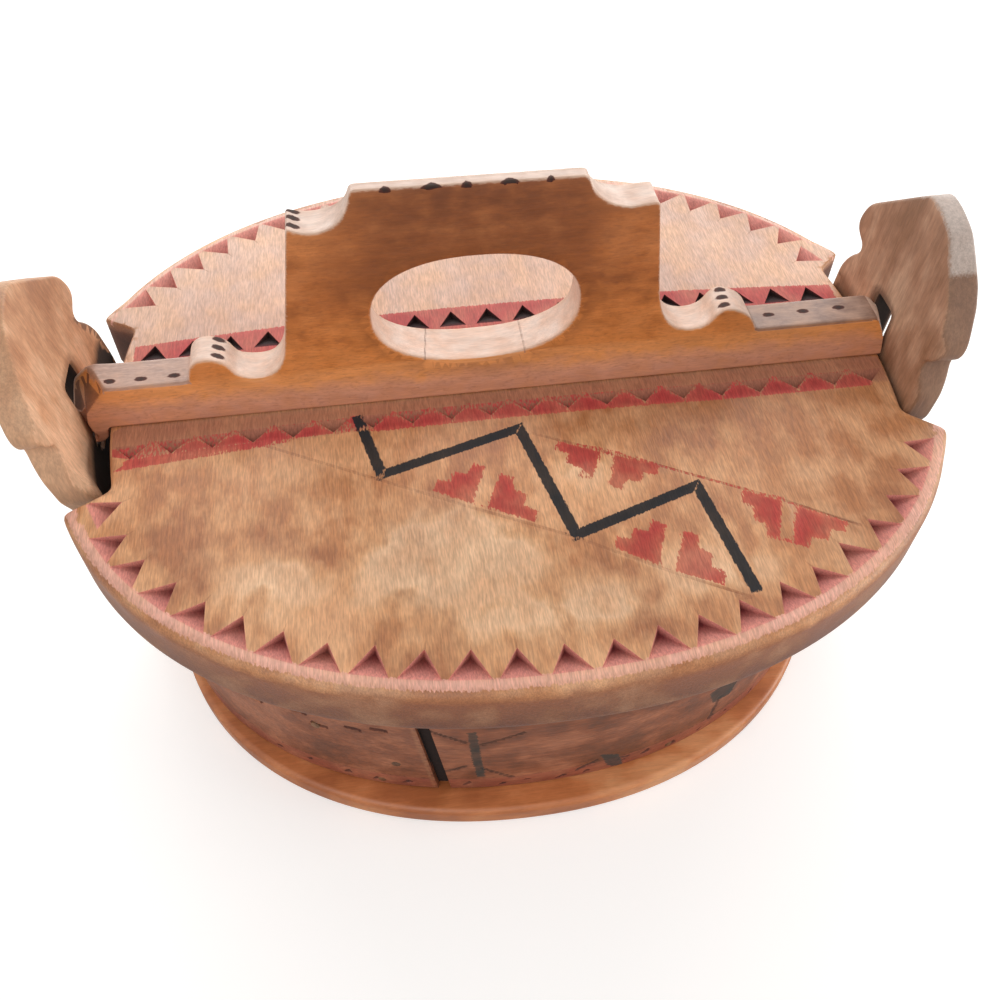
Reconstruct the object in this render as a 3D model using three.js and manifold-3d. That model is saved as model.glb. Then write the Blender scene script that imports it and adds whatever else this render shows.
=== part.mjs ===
// Oval tine box of bent and carved wood, in millimetres, +Z up.
// The frame's origin is the middle of the base board's underside. +X runs along the handle, -Y is the front.
//
// How it goes together: a thin strip is bent round into an oval wall and pegged where its ends lap. Pegs through
// the wall's foot hold it to the base board's raised middle. At each end a springy upright ear stands in a lug of
// the base. The lid drops between the ears, and the two tongues of its handle snap into slots through the ears.
import * as THREE from 'three';
import { mergeVertices } from 'three/addons/utils/BufferGeometryUtils.js';
import Module from 'manifold-3d';

const wasm = await Module();
wasm.setup();

// Clearance between pieces that touch
const GAP = 0.3;

// Oval outlines are superellipses |x/a|^n + |y/b|^n = 1
const OVAL_POWER = 2.15;
const OVAL_STEPS = 72;

// Base board
const BASE_HALF = [108.8, 91.7];
const BASE_THICKNESS = 8;
const BASE_EDGE_ROUND = 2;
const PLATFORM_HEIGHT = 6;
const LUG_REACH = 119;
const LUG_HALF_WIDTH = 10.5;

// Bent wall
const WALL_HALF = [107, 84];
const WALL_THICKNESS = 4;
const WALL_BOTTOM = BASE_THICKNESS + GAP;
const WALL_TOP = 82.7;
const LAP_INNER_END_X = -74;
const JOINT_X_AT_FOOT = -27.4;
const JOINT_LEAN = -0.12;
const JOINT_WIDTH = 3.7;

// Pegs through the lap, as [x, z] on the front of the wall, and pegs round the wall's foot
const LAP_PEGS = [[-36, 52], [-38.9, 23.3], [-45, 55], [-60, 38]];
const LAP_PEG_RADIUS = 1.5;
const FOOT_PEG_COUNT = 8;
const FOOT_PEG_RADIUS = 1.4;
const FOOT_PEG_Z = 11;
const FOOT_PEG_LENGTH = 13;
const PEG_SIDES = 12;

// Lid, in a frame of its own at its top surface, a little off the box's middle. Its oval is not quite centred there.
const LID_OFFSET_X = 2.6;
const LID_TOP = 100;
const LID_HALF = [121.5, 100.2];
const LID_CENTRE = [-1, -2.6];
const LID_POWER = 2.17;
const LID_THICKNESS = 17;
const LID_EDGE_ROUND = 3.2;
const LID_PLUG_HALF = [102, 79];
const LID_PLUG_DEPTH = 4;
const NOTCH_HALF_WIDTH = 31.2;
const NOTCH_LEFT = { middle: -107.9, corner: -104.9, splay: 0.58 };
const NOTCH_RIGHT = { middle: 107.2, corner: 104.6, splay: 0.85 };

// Chip-carved triangles round the lid's rim: their bases lie on an oval, and one of them is at CHIP_FRONT_X
const CHIP_OVAL_HALF = [118.2, 95.8];
const CHIP_COUNT = 61;
const CHIP_FRONT_X = 1.7;
const CHIP_REACH = 7.6;
const CHIP_HALF_WIDTH = 5;
const CHIP_DEPTH = 3;

// Handle, in the lid's frame
const RAIL_TOP = 10.3;
const RAIL_TOP_HALF = 5.3;
const RAIL_FOOT_HALF = 9.5;
const HANDLE_TOP = 63;
const HANDLE_BEVEL_START = 52;
const HANDLE_TOP_BACK = -2.3;
const BELLY_HALF = 8;
const BELLY_Z = [9, 20];
const BELLY_X = [-58, 44];
const BELLY_TAPER = 10;
const TONGUE_LEFT_HALF_WIDTH = 5.4;
const TONGUE_RIGHT_HALF_WIDTH = 4.5;
const TONGUE_LEFT_TIP = -117.1;
const TONGUE_RIGHT_TIP = 109.4;
const TONGUE_LEFT_TAPER = [-113, -112.8];
const TONGUE_RIGHT_TAPER = [107.2, 107.5];
const END_FACET_LEFT = { start: -106.6, slopeX: 1.74, slopeZ: 2.14 };
const END_FACET_RIGHT = { start: 105, slopeX: 3.72, slopeZ: 1.99 };
const HAND_HOLE = { x: -7.6, z: 25.9, halfX: 27.1, halfZ: 16.6, power: 2.3 };
const DOWEL_XS = [-92, -46, 32, 90];
const DOWEL_RADIUS = 3;
const DOWEL_TOP = 7;
const DOWEL_BOTTOM = -14;

// Ears. The outline is seen along the handle, as [y, z]: the foot, the near side up, the top, the far side down.
const EAR_THICKNESS = 8;
const EAR_FOOT_X = 107.6;
const EAR_FOOT_Z = BASE_THICKNESS + GAP;
const EAR_LEAN = Math.tan(THREE.MathUtils.degToRad(2));
const EAR_LEFT_BEND = Math.tan(THREE.MathUtils.degToRad(8)) - EAR_LEAN;
const EAR_BEND_Z = [86, 100];
const EAR_HOLLOW = 2 / 28 ** 2;
const EAR_CHAMFER_Y = -29.9;
const EAR_TOP = 145;
const EAR_LEFT_HEAD = { from: 118, scale: 0.9 };
const SLOT_BOTTOM = 89;
const SLOT_LEFT = { halfWidth: 5.8, innerTop: 112.2, outerTop: 107.6 };
const SLOT_RIGHT = { halfWidth: 5.2, innerTop: 111.2, outerTop: 108.6 };
const TENON_HALF_WIDTH = 7;
const TENON_X = [108.4, 114];
const MORTISE_FLARE = 1.4;
const WEDGE_X = 111.2;
const WEDGE_HALF_THICKNESS = [0.5, 1.1];
const WEDGE_TOP = 7;

const WOODS = {
  base: { color: 0xd2a06c, roughness: 0.62 },
  wall: { color: 0xb98a5c, roughness: 0.68 },
  lid: { color: 0xc9925c, roughness: 0.58 },
  handle: { color: 0xb06c30, roughness: 0.5 },
  ear: { color: 0xc39a6b, roughness: 0.66 },
  peg: { color: 0x8a5c38, roughness: 0.7 },
};

// Indexed geometry from corner points and triangles, turned inside out if its faces point inwards
function closedGeometry(points, triangles) {
  let volume = 0;
  const [a, b, c] = [new THREE.Vector3(), new THREE.Vector3(), new THREE.Vector3()];
  for (const [i, j, k] of triangles) {
    a.fromArray(points[i]);
    b.fromArray(points[j]);
    c.fromArray(points[k]);
    volume += a.dot(b.cross(c));
  }
  const outward = volume < 0 ? triangles.map(([i, j, k]) => [i, k, j]) : triangles;
  const geometry = new THREE.BufferGeometry();
  geometry.setAttribute('position', new THREE.Float32BufferAttribute(points.flat(), 3));
  geometry.setIndex(outward.flat());
  return geometry;
}

function toSolid(geometry) {
  const bare = geometry.clone();
  bare.deleteAttribute('normal');
  bare.deleteAttribute('uv');
  const merged = mergeVertices(bare, 1e-4);
  return new wasm.Manifold(new wasm.Mesh({
    numProp: 3,
    vertProperties: new Float32Array(merged.attributes.position.array),
    triVerts: new Uint32Array(merged.index.array),
  }));
}

function toGeometry(solid) {
  const mesh = solid.getMesh();
  const geometry = new THREE.BufferGeometry();
  geometry.setAttribute('position', new THREE.BufferAttribute(mesh.vertProperties, 3));
  geometry.setIndex(new THREE.BufferAttribute(mesh.triVerts, 1));
  geometry.computeVertexNormals();
  return geometry;
}

function ovalPoint([halfX, halfY], angle, power = OVAL_POWER, centre = [0, 0]) {
  const [c, s] = [Math.cos(angle), Math.sin(angle)];
  return [
    centre[0] + halfX * Math.sign(c) * Math.abs(c) ** (2 / power),
    centre[1] + halfY * Math.sign(s) * Math.abs(s) ** (2 / power),
  ];
}

// A solid stacked from oval rings, each { half, z, power, centre }, with flat ends
function ovalStack(rings, steps = OVAL_STEPS) {
  const points = [];
  const triangles = [];
  rings.forEach(({ half, z, power, centre }, level) => {
    for (let i = 0; i < steps; i += 1) {
      points.push([...ovalPoint(half, (i / steps) * 2 * Math.PI, power, centre), z]);
      if (level > 0) {
        const [a, b] = [level * steps + i, level * steps + ((i + 1) % steps)];
        triangles.push([a - steps, b - steps, b], [a - steps, b, a]);
      }
    }
  });
  const last = (rings.length - 1) * steps;
  const bottom = points.push([...(rings[0].centre ?? [0, 0]), rings[0].z]) - 1;
  const top = points.push([...(rings.at(-1).centre ?? [0, 0]), rings.at(-1).z]) - 1;
  for (let i = 0; i < steps; i += 1) {
    const next = (i + 1) % steps;
    triangles.push([bottom, next, i], [top, last + i, last + next]);
  }
  return closedGeometry(points, triangles);
}

// Rings of a board whose top and bottom edges are rounded by a quarter circle
function roundedBoardRings(half, low, high, round, power, centre, arcSteps = 3) {
  const rings = [];
  for (let i = 0; i <= arcSteps; i += 1) {
    const turn = (i / arcSteps) * (Math.PI / 2);
    const inset = round * (1 - Math.sin(turn));
    rings.push({ half: half.map((h) => h - inset), z: low + round * (1 - Math.cos(turn)), power, centre });
  }
  return [...rings, ...rings.map((ring) => ({ ...ring, z: low + high - ring.z })).reverse()];
}

// A flat outline pushed along an axis: 'x' reads it as (y, z), 'y' as (x, z) and 'z' as (x, y)
function pushed(outline, axis, from, to, curveSegments = 8) {
  const shape = outline instanceof THREE.Shape
    ? outline
    : new THREE.Shape(outline.map(([u, v]) => new THREE.Vector2(u, v)));
  const geometry = new THREE.ExtrudeGeometry(shape, { depth: to - from, bevelEnabled: false, curveSegments });
  geometry.translate(0, 0, from);
  if (axis === 'x') {
    geometry.applyMatrix4(new THREE.Matrix4().set(0, 0, 1, 0, 1, 0, 0, 0, 0, 1, 0, 0, 0, 0, 0, 1));
  } else if (axis === 'y') {
    geometry.scale(1, 1, -1);
    geometry.applyMatrix4(new THREE.Matrix4().set(1, 0, 0, 0, 0, 0, -1, 0, 0, 1, 0, 0, 0, 0, 0, 1));
    flipFaces(geometry);
  }
  return toSolid(geometry);
}

function flipFaces(geometry) {
  const place = geometry.attributes.position;
  const hold = new THREE.Vector3();
  const swap = new THREE.Vector3();
  for (let i = 0; i < place.count; i += 3) {
    hold.fromBufferAttribute(place, i + 1);
    swap.fromBufferAttribute(place, i + 2);
    place.setXYZ(i + 1, swap.x, swap.y, swap.z);
    place.setXYZ(i + 2, hold.x, hold.y, hold.z);
  }
}

// A round peg or drill from one point towards another
function rod(from, to, radius) {
  const start = new THREE.Vector3(...from);
  const along = new THREE.Vector3(...to).sub(start);
  const geometry = new THREE.CylinderGeometry(radius, radius, along.length(), PEG_SIDES);
  geometry.translate(0, along.length() / 2, 0);
  geometry.applyQuaternion(new THREE.Quaternion().setFromUnitVectors(
    new THREE.Vector3(0, 1, 0),
    along.clone().normalize(),
  ));
  geometry.translate(...from);
  return geometry;
}

function ovalNormal([halfX, halfY], [x, y], power = OVAL_POWER) {
  return new THREE.Vector3(
    Math.sign(x) * Math.abs(x / halfX) ** (power - 1) / halfX,
    Math.sign(y) * Math.abs(y / halfY) ** (power - 1) / halfY,
    0,
  ).normalize();
}

const wallOffset = (depth) => WALL_HALF.map((half) => half - WALL_THICKNESS + depth);

// Angle on the front of the wall's oval, between -180 and 0 degrees, at a given x
function frontAngle(x) {
  const cosine = Math.sign(x) * Math.abs(x / WALL_HALF[0]) ** (OVAL_POWER / 2);
  return -Math.acos(cosine);
}

// Peg sites: a point on the wall's outside and the way out of it
function pegSite(angle, z) {
  const point = ovalPoint(WALL_HALF, angle);
  return { point: [...point, z], out: ovalNormal(WALL_HALF, point) };
}

const along = ({ point, out }, distance) => point.map((value, i) => value + out.getComponent(i) * distance);

const lapSites = LAP_PEGS.map(([x, z]) => pegSite(frontAngle(x), z));
const footSites = Array.from({ length: FOOT_PEG_COUNT }, (_, i) => (
  pegSite(((i + 0.5) / FOOT_PEG_COUNT) * 2 * Math.PI, FOOT_PEG_Z)
));

const footPegHoles = footSites.map((site) => toSolid(
  rod(along(site, 1), along(site, -FOOT_PEG_LENGTH - GAP), FOOT_PEG_RADIUS + GAP),
));

// Base board: rounded oval, raised middle that the wall wraps, and a lug with a mortise under each ear
function makeBase() {
  const platformHalf = WALL_HALF.map((half) => half - WALL_THICKNESS - GAP);
  let base = toSolid(ovalStack([
    ...roundedBoardRings(BASE_HALF, 0, BASE_THICKNESS, BASE_EDGE_ROUND, OVAL_POWER),
    { half: platformHalf, z: BASE_THICKNESS },
    { half: platformHalf, z: BASE_THICKNESS + PLATFORM_HEIGHT - 1 },
    { half: platformHalf.map((half) => half - 1), z: BASE_THICKNESS + PLATFORM_HEIGHT },
  ]));
  for (const side of [-1, 1]) {
    const lug = [
      [100 * side, -2.2 * LUG_HALF_WIDTH],
      [(LUG_REACH - 4) * side, -LUG_HALF_WIDTH],
      [LUG_REACH * side, -LUG_HALF_WIDTH + 4],
      [LUG_REACH * side, LUG_HALF_WIDTH - 4],
      [(LUG_REACH - 4) * side, LUG_HALF_WIDTH],
      [100 * side, 2.2 * LUG_HALF_WIDTH],
    ];
    base = base.add(pushed(lug, 'z', 0, BASE_THICKNESS));
    const mortise = [
      [(TENON_X[0] - GAP) * side, BASE_THICKNESS + 1],
      [(TENON_X[0] - GAP - MORTISE_FLARE * 1.3) * side, -1],
      [(TENON_X[1] + GAP) * side, -1],
      [(TENON_X[1] + GAP) * side, BASE_THICKNESS + 1],
    ];
    base = base.subtract(pushed(mortise, 'y', -TENON_HALF_WIDTH - GAP, TENON_HALF_WIDTH + GAP));
  }
  footPegHoles.forEach((hole) => {
    base = base.subtract(hole);
  });
  return toGeometry(base);
}

// Wall: one strip that starts with a thin inner end behind the lap, goes once round, and ends thin over it.
// Each column is { low, high, inner, outer }: its angle at the foot and the top, and its faces' offsets.
function makeWall() {
  const half = WALL_THICKNESS / 2;
  const jointX = (z) => JOINT_X_AT_FOOT + JOINT_LEAN * (z - WALL_BOTTOM);
  const jointAngles = (shift) => [frontAngle(jointX(WALL_BOTTOM) + shift), frontAngle(jointX(WALL_TOP) + shift)];
  const innerEnd = frontAngle(LAP_INNER_END_X);
  const sliver = 0.004;
  const columns = [];
  const addRun = (from, to, inner, outer, steps) => {
    for (let i = 0; i <= steps; i += 1) {
      const t = i / steps;
      columns.push({
        low: from[0] + (to[0] - from[0]) * t,
        high: from[1] + (to[1] - from[1]) * t,
        inner,
        outer,
      });
    }
  };
  const shoulder = jointAngles(JOINT_WIDTH);
  const outerEnd = jointAngles(0).map((angle) => angle + 2 * Math.PI);
  const lapStart = 2 * Math.PI + innerEnd - 2 * sliver;
  addRun([innerEnd, innerEnd], shoulder, 0, half - GAP / 2, 10);
  addRun(shoulder.map((angle) => angle + sliver), [lapStart - sliver, lapStart - sliver], 0, WALL_THICKNESS, 68);
  addRun([lapStart, lapStart], outerEnd, half + GAP / 2, WALL_THICKNESS, 10);
  const points = [];
  const triangles = [];
  columns.forEach(({ low, high, inner, outer }, i) => {
    points.push(
      [...ovalPoint(wallOffset(inner), low), WALL_BOTTOM],
      [...ovalPoint(wallOffset(outer), low), WALL_BOTTOM],
      [...ovalPoint(wallOffset(outer), high), WALL_TOP],
      [...ovalPoint(wallOffset(inner), high), WALL_TOP],
    );
    for (let side = 0; i > 0 && side < 4; side += 1) {
      const [a, b] = [i * 4 + side, i * 4 + ((side + 1) % 4)];
      triangles.push([a - 4, b - 4, b], [a - 4, b, a]);
    }
  });
  const last = points.length - 4;
  triangles.push([0, 2, 1], [0, 3, 2], [last, last + 1, last + 2], [last, last + 2, last + 3]);
  let wall = toSolid(closedGeometry(points, triangles));
  footPegHoles.forEach((hole) => {
    wall = wall.subtract(hole);
  });
  lapSites.forEach((site) => {
    wall = wall.subtract(toSolid(rod(along(site, 1), along(site, -WALL_THICKNESS - 1), LAP_PEG_RADIUS + GAP)));
  });
  return toGeometry(wall);
}

// The lid's end notch: a hollow whose inner edge bulges outwards and whose sides splay a little
function notchSolid({ middle, corner, splay }) {
  const side = Math.sign(middle);
  const reach = 130 * side;
  const spread = Math.abs(reach - corner) * splay;
  const outline = [[reach, -NOTCH_HALF_WIDTH - spread], [corner, -NOTCH_HALF_WIDTH]];
  for (let i = 1; i < 8; i += 1) {
    const y = (i / 4 - 1) * NOTCH_HALF_WIDTH;
    outline.push([middle + (corner - middle) * (y / NOTCH_HALF_WIDTH) ** 2, y]);
  }
  outline.push([corner, NOTCH_HALF_WIDTH], [reach, NOTCH_HALF_WIDTH + spread]);
  return pushed(outline, 'z', -LID_THICKNESS - 1, 1);
}

// One chip: upright sides that meet at the inner tip, and a floor that rises from there to the rim
function chipSolid(angle) {
  const rim = ovalPoint(CHIP_OVAL_HALF, angle, LID_POWER, LID_CENTRE);
  const out = ovalNormal(CHIP_OVAL_HALF, ovalPoint(CHIP_OVAL_HALF, angle, LID_POWER), LID_POWER);
  const place = (inset, across, z) => [
    rim[0] - out.x * inset - out.y * across,
    rim[1] - out.y * inset + out.x * across,
    z,
  ];
  const points = [
    place(CHIP_REACH, 0, 1),
    place(0, -CHIP_HALF_WIDTH, 1),
    place(0, CHIP_HALF_WIDTH, 1),
    place(CHIP_REACH, 0, -CHIP_DEPTH),
    place(0, -CHIP_HALF_WIDTH, -0.2),
    place(0, CHIP_HALF_WIDTH, -0.2),
  ];
  const triangles = [[0, 1, 2], [3, 5, 4], [0, 3, 4], [0, 4, 1], [0, 2, 5], [0, 5, 3], [1, 4, 5], [1, 5, 2]];
  return toSolid(closedGeometry(points, triangles));
}

// Angles round the lid's rim at even distances, leaving out the two ends with the notches
function chipAngles() {
  const fine = 2880;
  const turns = Array.from({ length: fine + 1 }, (_, i) => -Math.PI / 2 + (i / fine) * 2 * Math.PI);
  const points = turns.map((angle) => ovalPoint(CHIP_OVAL_HALF, angle, LID_POWER, LID_CENTRE));
  const steps = points.slice(1).map((point, i) => Math.hypot(point[0] - points[i][0], point[1] - points[i][1]));
  const spacing = steps.reduce((total, step) => total + step, 0) / CHIP_COUNT;
  const angles = [];
  let left = CHIP_FRONT_X - LID_CENTRE[0];
  steps.forEach((step, i) => {
    left -= step;
    if (left <= 0) {
      left += spacing;
      if (Math.abs(points[i + 1][1]) > NOTCH_HALF_WIDTH + 6) {
        angles.push(turns[i + 1]);
      }
    }
  });
  return angles;
}

function makeLid() {
  const plugCentre = [-LID_OFFSET_X, 0];
  const plugFoot = -LID_THICKNESS - LID_PLUG_DEPTH;
  let lid = toSolid(ovalStack([
    { half: LID_PLUG_HALF.map((half) => half - 1), z: plugFoot, centre: plugCentre },
    { half: LID_PLUG_HALF, z: plugFoot + 1, centre: plugCentre },
    { half: LID_PLUG_HALF, z: -LID_THICKNESS, centre: plugCentre },
    ...roundedBoardRings(LID_HALF, -LID_THICKNESS, 0, LID_EDGE_ROUND, LID_POWER, LID_CENTRE),
  ], 96));
  lid = lid.subtract(notchSolid(NOTCH_LEFT)).subtract(notchSolid(NOTCH_RIGHT));
  chipAngles().forEach((angle) => {
    lid = lid.subtract(chipSolid(angle));
  });
  DOWEL_XS.forEach((x) => {
    lid = lid.subtract(toSolid(rod([x, 0, DOWEL_BOTTOM - GAP], [x, 0, 1], DOWEL_RADIUS + GAP)));
  });
  return toGeometry(lid);
}

// The handle seen from the front, as (x, z): tongue, low rail, lobe, tall grip with a hollowed shoulder each
// side, lobe, low rail, tongue
function handleFront() {
  const shape = new THREE.Shape();
  shape.moveTo(TONGUE_LEFT_TIP, -1);
  shape.lineTo(TONGUE_LEFT_TIP, 6.4);
  shape.lineTo(-112.9, 10);
  shape.lineTo(-110.5, 10.9);
  shape.quadraticCurveTo(-108, 10.6, -104, RAIL_TOP);
  shape.lineTo(-84.3, RAIL_TOP);
  shape.quadraticCurveTo(-84.2, 17, -79, 17);
  shape.quadraticCurveTo(-73.6, 16.8, -72.2, 11.4);
  shape.quadraticCurveTo(-68.5, 8.6, -64.6, 9.4);
  shape.quadraticCurveTo(-59.2, 10.8, -57.9, 18.4);
  shape.lineTo(-52.4, 51.7);
  shape.lineTo(-51.8, 55.7);
  shape.quadraticCurveTo(-50.4, 52.4, -46.5, 52.4);
  shape.quadraticCurveTo(-37.6, 52.6, -36.3, HANDLE_TOP);
  shape.lineTo(19.2, HANDLE_TOP - 1);
  shape.quadraticCurveTo(21, 54, 30, 52.6);
  shape.lineTo(37.2, 53.4);
  shape.lineTo(40.6, 27.1);
  shape.quadraticCurveTo(42.4, 12.8, 51, 12.4);
  shape.quadraticCurveTo(56, 12.4, 57.2, 15.6);
  shape.quadraticCurveTo(58.8, 19.2, 62.4, 18);
  shape.quadraticCurveTo(68.6, 15.6, 69.7, RAIL_TOP);
  shape.lineTo(105, RAIL_TOP);
  shape.lineTo(TONGUE_RIGHT_TIP, 7);
  shape.lineTo(TONGUE_RIGHT_TIP, 1.5);
  shape.lineTo(TONGUE_RIGHT_TIP - 1.2, GAP);
  shape.lineTo(-108.3, GAP);
  shape.lineTo(-108.3, -2.4);
  shape.quadraticCurveTo(-109.3, -4.8, -112.5, -4.8);
  shape.quadraticCurveTo(-116.6, -4.6, TONGUE_LEFT_TIP, -1);
  const hole = new THREE.Path();
  const { x, z, halfX, halfZ, power } = HAND_HOLE;
  const steps = 28;
  for (let i = 0; i < steps; i += 1) {
    const [u, v] = ovalPoint([halfX, halfZ], (i / steps) * 2 * Math.PI, power, [x, z]);
    if (i === 0) {
      hole.moveTo(u, v);
    } else {
      hole.lineTo(u, v);
    }
  }
  hole.closePath();
  shape.holes.push(hole);
  return shape;
}

// What is cut off the front of the rail's end, in front of a plane that rises towards the tip:
// y = -RAIL_TOP_HALF + slopeX * (distance past the start) + slopeZ * (z - RAIL_TOP)
function endFacet({ start, slopeX, slopeZ }) {
  const side = Math.sign(start);
  const normal = new THREE.Vector3(slopeX * side, -1, slopeZ);
  const offset = slopeX * side * start + RAIL_TOP_HALF + slopeZ * RAIL_TOP;
  const block = [[start, -20], [125 * side, -20], [125 * side, 20], [start, 20]];
  return pushed(block, 'z', -8, 16).trimByPlane(normal.clone().normalize().toArray(), offset / normal.length());
}

function makeHandle() {
  const section = [
    [-RAIL_FOOT_HALF, -6],
    [RAIL_FOOT_HALF, -6],
    [RAIL_FOOT_HALF, 0],
    [RAIL_TOP_HALF, RAIL_TOP],
    [RAIL_TOP_HALF, HANDLE_BEVEL_START],
    [HANDLE_TOP_BACK, HANDLE_TOP + 1],
    [-RAIL_TOP_HALF, HANDLE_TOP + 1],
    [-RAIL_TOP_HALF, RAIL_TOP],
    [-RAIL_FOOT_HALF, 0],
  ];
  // The back swells a little below the hand hole
  const belly = [
    [0, 0],
    [RAIL_FOOT_HALF, 0],
    [BELLY_HALF, BELLY_Z[0]],
    [RAIL_TOP_HALF, BELLY_Z[1]],
    [0, BELLY_Z[1]],
  ];
  const bellyPlan = [
    [BELLY_X[0], 0],
    [BELLY_X[1], 0],
    [BELLY_X[1], RAIL_TOP_HALF],
    [BELLY_X[1] - BELLY_TAPER, RAIL_FOOT_HALF],
    [BELLY_X[0] + BELLY_TAPER, RAIL_FOOT_HALF],
    [BELLY_X[0], RAIL_TOP_HALF],
  ];
  const frontPlan = [
    [TONGUE_LEFT_TIP - 1, -TONGUE_LEFT_HALF_WIDTH],
    [TONGUE_LEFT_TAPER[0], -TONGUE_LEFT_HALF_WIDTH],
    [TONGUE_LEFT_TAPER[1], -RAIL_FOOT_HALF - 1],
    [TONGUE_RIGHT_TAPER[0], -RAIL_FOOT_HALF - 1],
    [TONGUE_RIGHT_TAPER[1], -TONGUE_RIGHT_HALF_WIDTH],
    [TONGUE_RIGHT_TIP + 1, -TONGUE_RIGHT_HALF_WIDTH],
  ];
  const plan = [...frontPlan, ...frontPlan.map(([x, y]) => [x, -y]).reverse()];
  const swell = pushed(belly, 'x', BELLY_X[0] - 1, BELLY_X[1] + 1)
    .intersect(pushed(bellyPlan, 'z', -1, BELLY_Z[1] + 1));
  const board = pushed(section, 'x', TONGUE_LEFT_TIP - 1, TONGUE_RIGHT_TIP + 1).add(swell);
  let handle = pushed(handleFront(), 'y', -RAIL_FOOT_HALF - 1, RAIL_FOOT_HALF + 1, 5)
    .intersect(board)
    .intersect(pushed(plan, 'z', -7, HANDLE_TOP + 2))
    .subtract(endFacet(END_FACET_LEFT))
    .subtract(endFacet(END_FACET_RIGHT));
  DOWEL_XS.forEach((x) => {
    handle = handle.subtract(toSolid(rod([x, 0, -1], [x, 0, DOWEL_TOP + GAP], DOWEL_RADIUS + GAP)));
  });
  return toGeometry(handle);
}

// How far out the ear's inner face lies at (y, z): a leaning board, hollowed across to follow the box's end
function earInnerX(side, y, z) {
  const [bendLow, bendHigh] = EAR_BEND_Z;
  const bendSpan = bendHigh - bendLow;
  const past = THREE.MathUtils.clamp(z - bendLow, 0, bendSpan);
  const bend = side < 0 ? EAR_LEFT_BEND * (past ** 2 / (2 * bendSpan) + Math.max(0, z - bendHigh)) : 0;
  const chamfer = Math.max(0, EAR_CHAMFER_Y - y);
  return EAR_FOOT_X + EAR_LEAN * (z - EAR_FOOT_Z) + bend - EAR_HOLLOW * y ** 2 + chamfer;
}

function earSlab(side) {
  const ys = [-34, EAR_CHAMFER_Y, -22, -14, -7, 0, 7, 14, 21, 28];
  const zs = [EAR_FOOT_Z - 2, 86, 90.5, 95, 100, 150];
  const points = [];
  const triangles = [];
  const layer = ys.length * zs.length;
  for (const depth of [0, EAR_THICKNESS]) {
    for (const z of zs) {
      for (const y of ys) {
        const chamfer = Math.max(0, EAR_CHAMFER_Y - y);
        const x = depth === 0 ? earInnerX(side, y, z) : earInnerX(side, y, z) - chamfer + depth;
        points.push([side * x, y, z]);
      }
    }
  }
  const at = (row, column, outer) => outer * layer + row * ys.length + column;
  const quad = (a, b, c, d) => triangles.push([a, b, c], [a, c, d]);
  for (let row = 1; row < zs.length; row += 1) {
    for (let column = 1; column < ys.length; column += 1) {
      quad(at(row - 1, column - 1, 0), at(row - 1, column, 0), at(row, column, 0), at(row, column - 1, 0));
      quad(at(row - 1, column - 1, 1), at(row, column - 1, 1), at(row, column, 1), at(row - 1, column, 1));
    }
    const far = ys.length - 1;
    quad(at(row - 1, 0, 0), at(row, 0, 0), at(row, 0, 1), at(row - 1, 0, 1));
    quad(at(row - 1, far, 0), at(row - 1, far, 1), at(row, far, 1), at(row, far, 0));
  }
  const top = zs.length - 1;
  for (let column = 1; column < ys.length; column += 1) {
    quad(at(0, column - 1, 0), at(0, column - 1, 1), at(0, column, 1), at(0, column, 0));
    quad(at(top, column - 1, 0), at(top, column, 0), at(top, column, 1), at(top, column - 1, 1));
  }
  return toSolid(closedGeometry(points, triangles));
}

function earOutline() {
  const shape = new THREE.Shape();
  shape.moveTo(-11, EAR_FOOT_Z);
  shape.lineTo(-16, 60);
  shape.lineTo(-22, 80);
  shape.quadraticCurveTo(-26.4, 87, -30.8, 96);
  shape.lineTo(-31.4, 104);
  shape.quadraticCurveTo(-31, 109, -28.4, 113);
  shape.quadraticCurveTo(-27.6, 115, -30.6, 116.4);
  shape.quadraticCurveTo(-33.2, 119.6, -31.4, 123.4);
  shape.lineTo(-27.4, 130.6);
  shape.quadraticCurveTo(-20.8, 137.3, -13.4, 143);
  shape.quadraticCurveTo(-6, 145.6, 0.6, EAR_TOP);
  shape.lineTo(21.4, 129.2);
  shape.quadraticCurveTo(24.2, 127, 24.8, 121.8);
  shape.quadraticCurveTo(24.6, 118.6, 20.4, 117.2);
  shape.quadraticCurveTo(18.4, 116, 20, 113.4);
  shape.quadraticCurveTo(24, 110.4, 25.4, 105);
  shape.lineTo(26, 95);
  shape.lineTo(25, 80);
  shape.lineTo(11, EAR_FOOT_Z);
  return shape;
}

// The slot through an ear: its top slopes down from the inner face to the outer one
function slotSolid(side) {
  const { halfWidth, innerTop, outerTop } = side < 0 ? SLOT_LEFT : SLOT_RIGHT;
  const innerTopX = earInnerX(side, 0, innerTop);
  const outline = [
    [side * 90, SLOT_BOTTOM],
    [side * 90, innerTop],
    [side * innerTopX, innerTop],
    [side * (innerTopX + EAR_THICKNESS), outerTop],
    [side * 140, outerTop],
    [side * 140, SLOT_BOTTOM],
  ];
  return pushed(outline, 'y', -halfWidth, halfWidth);
}

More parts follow.
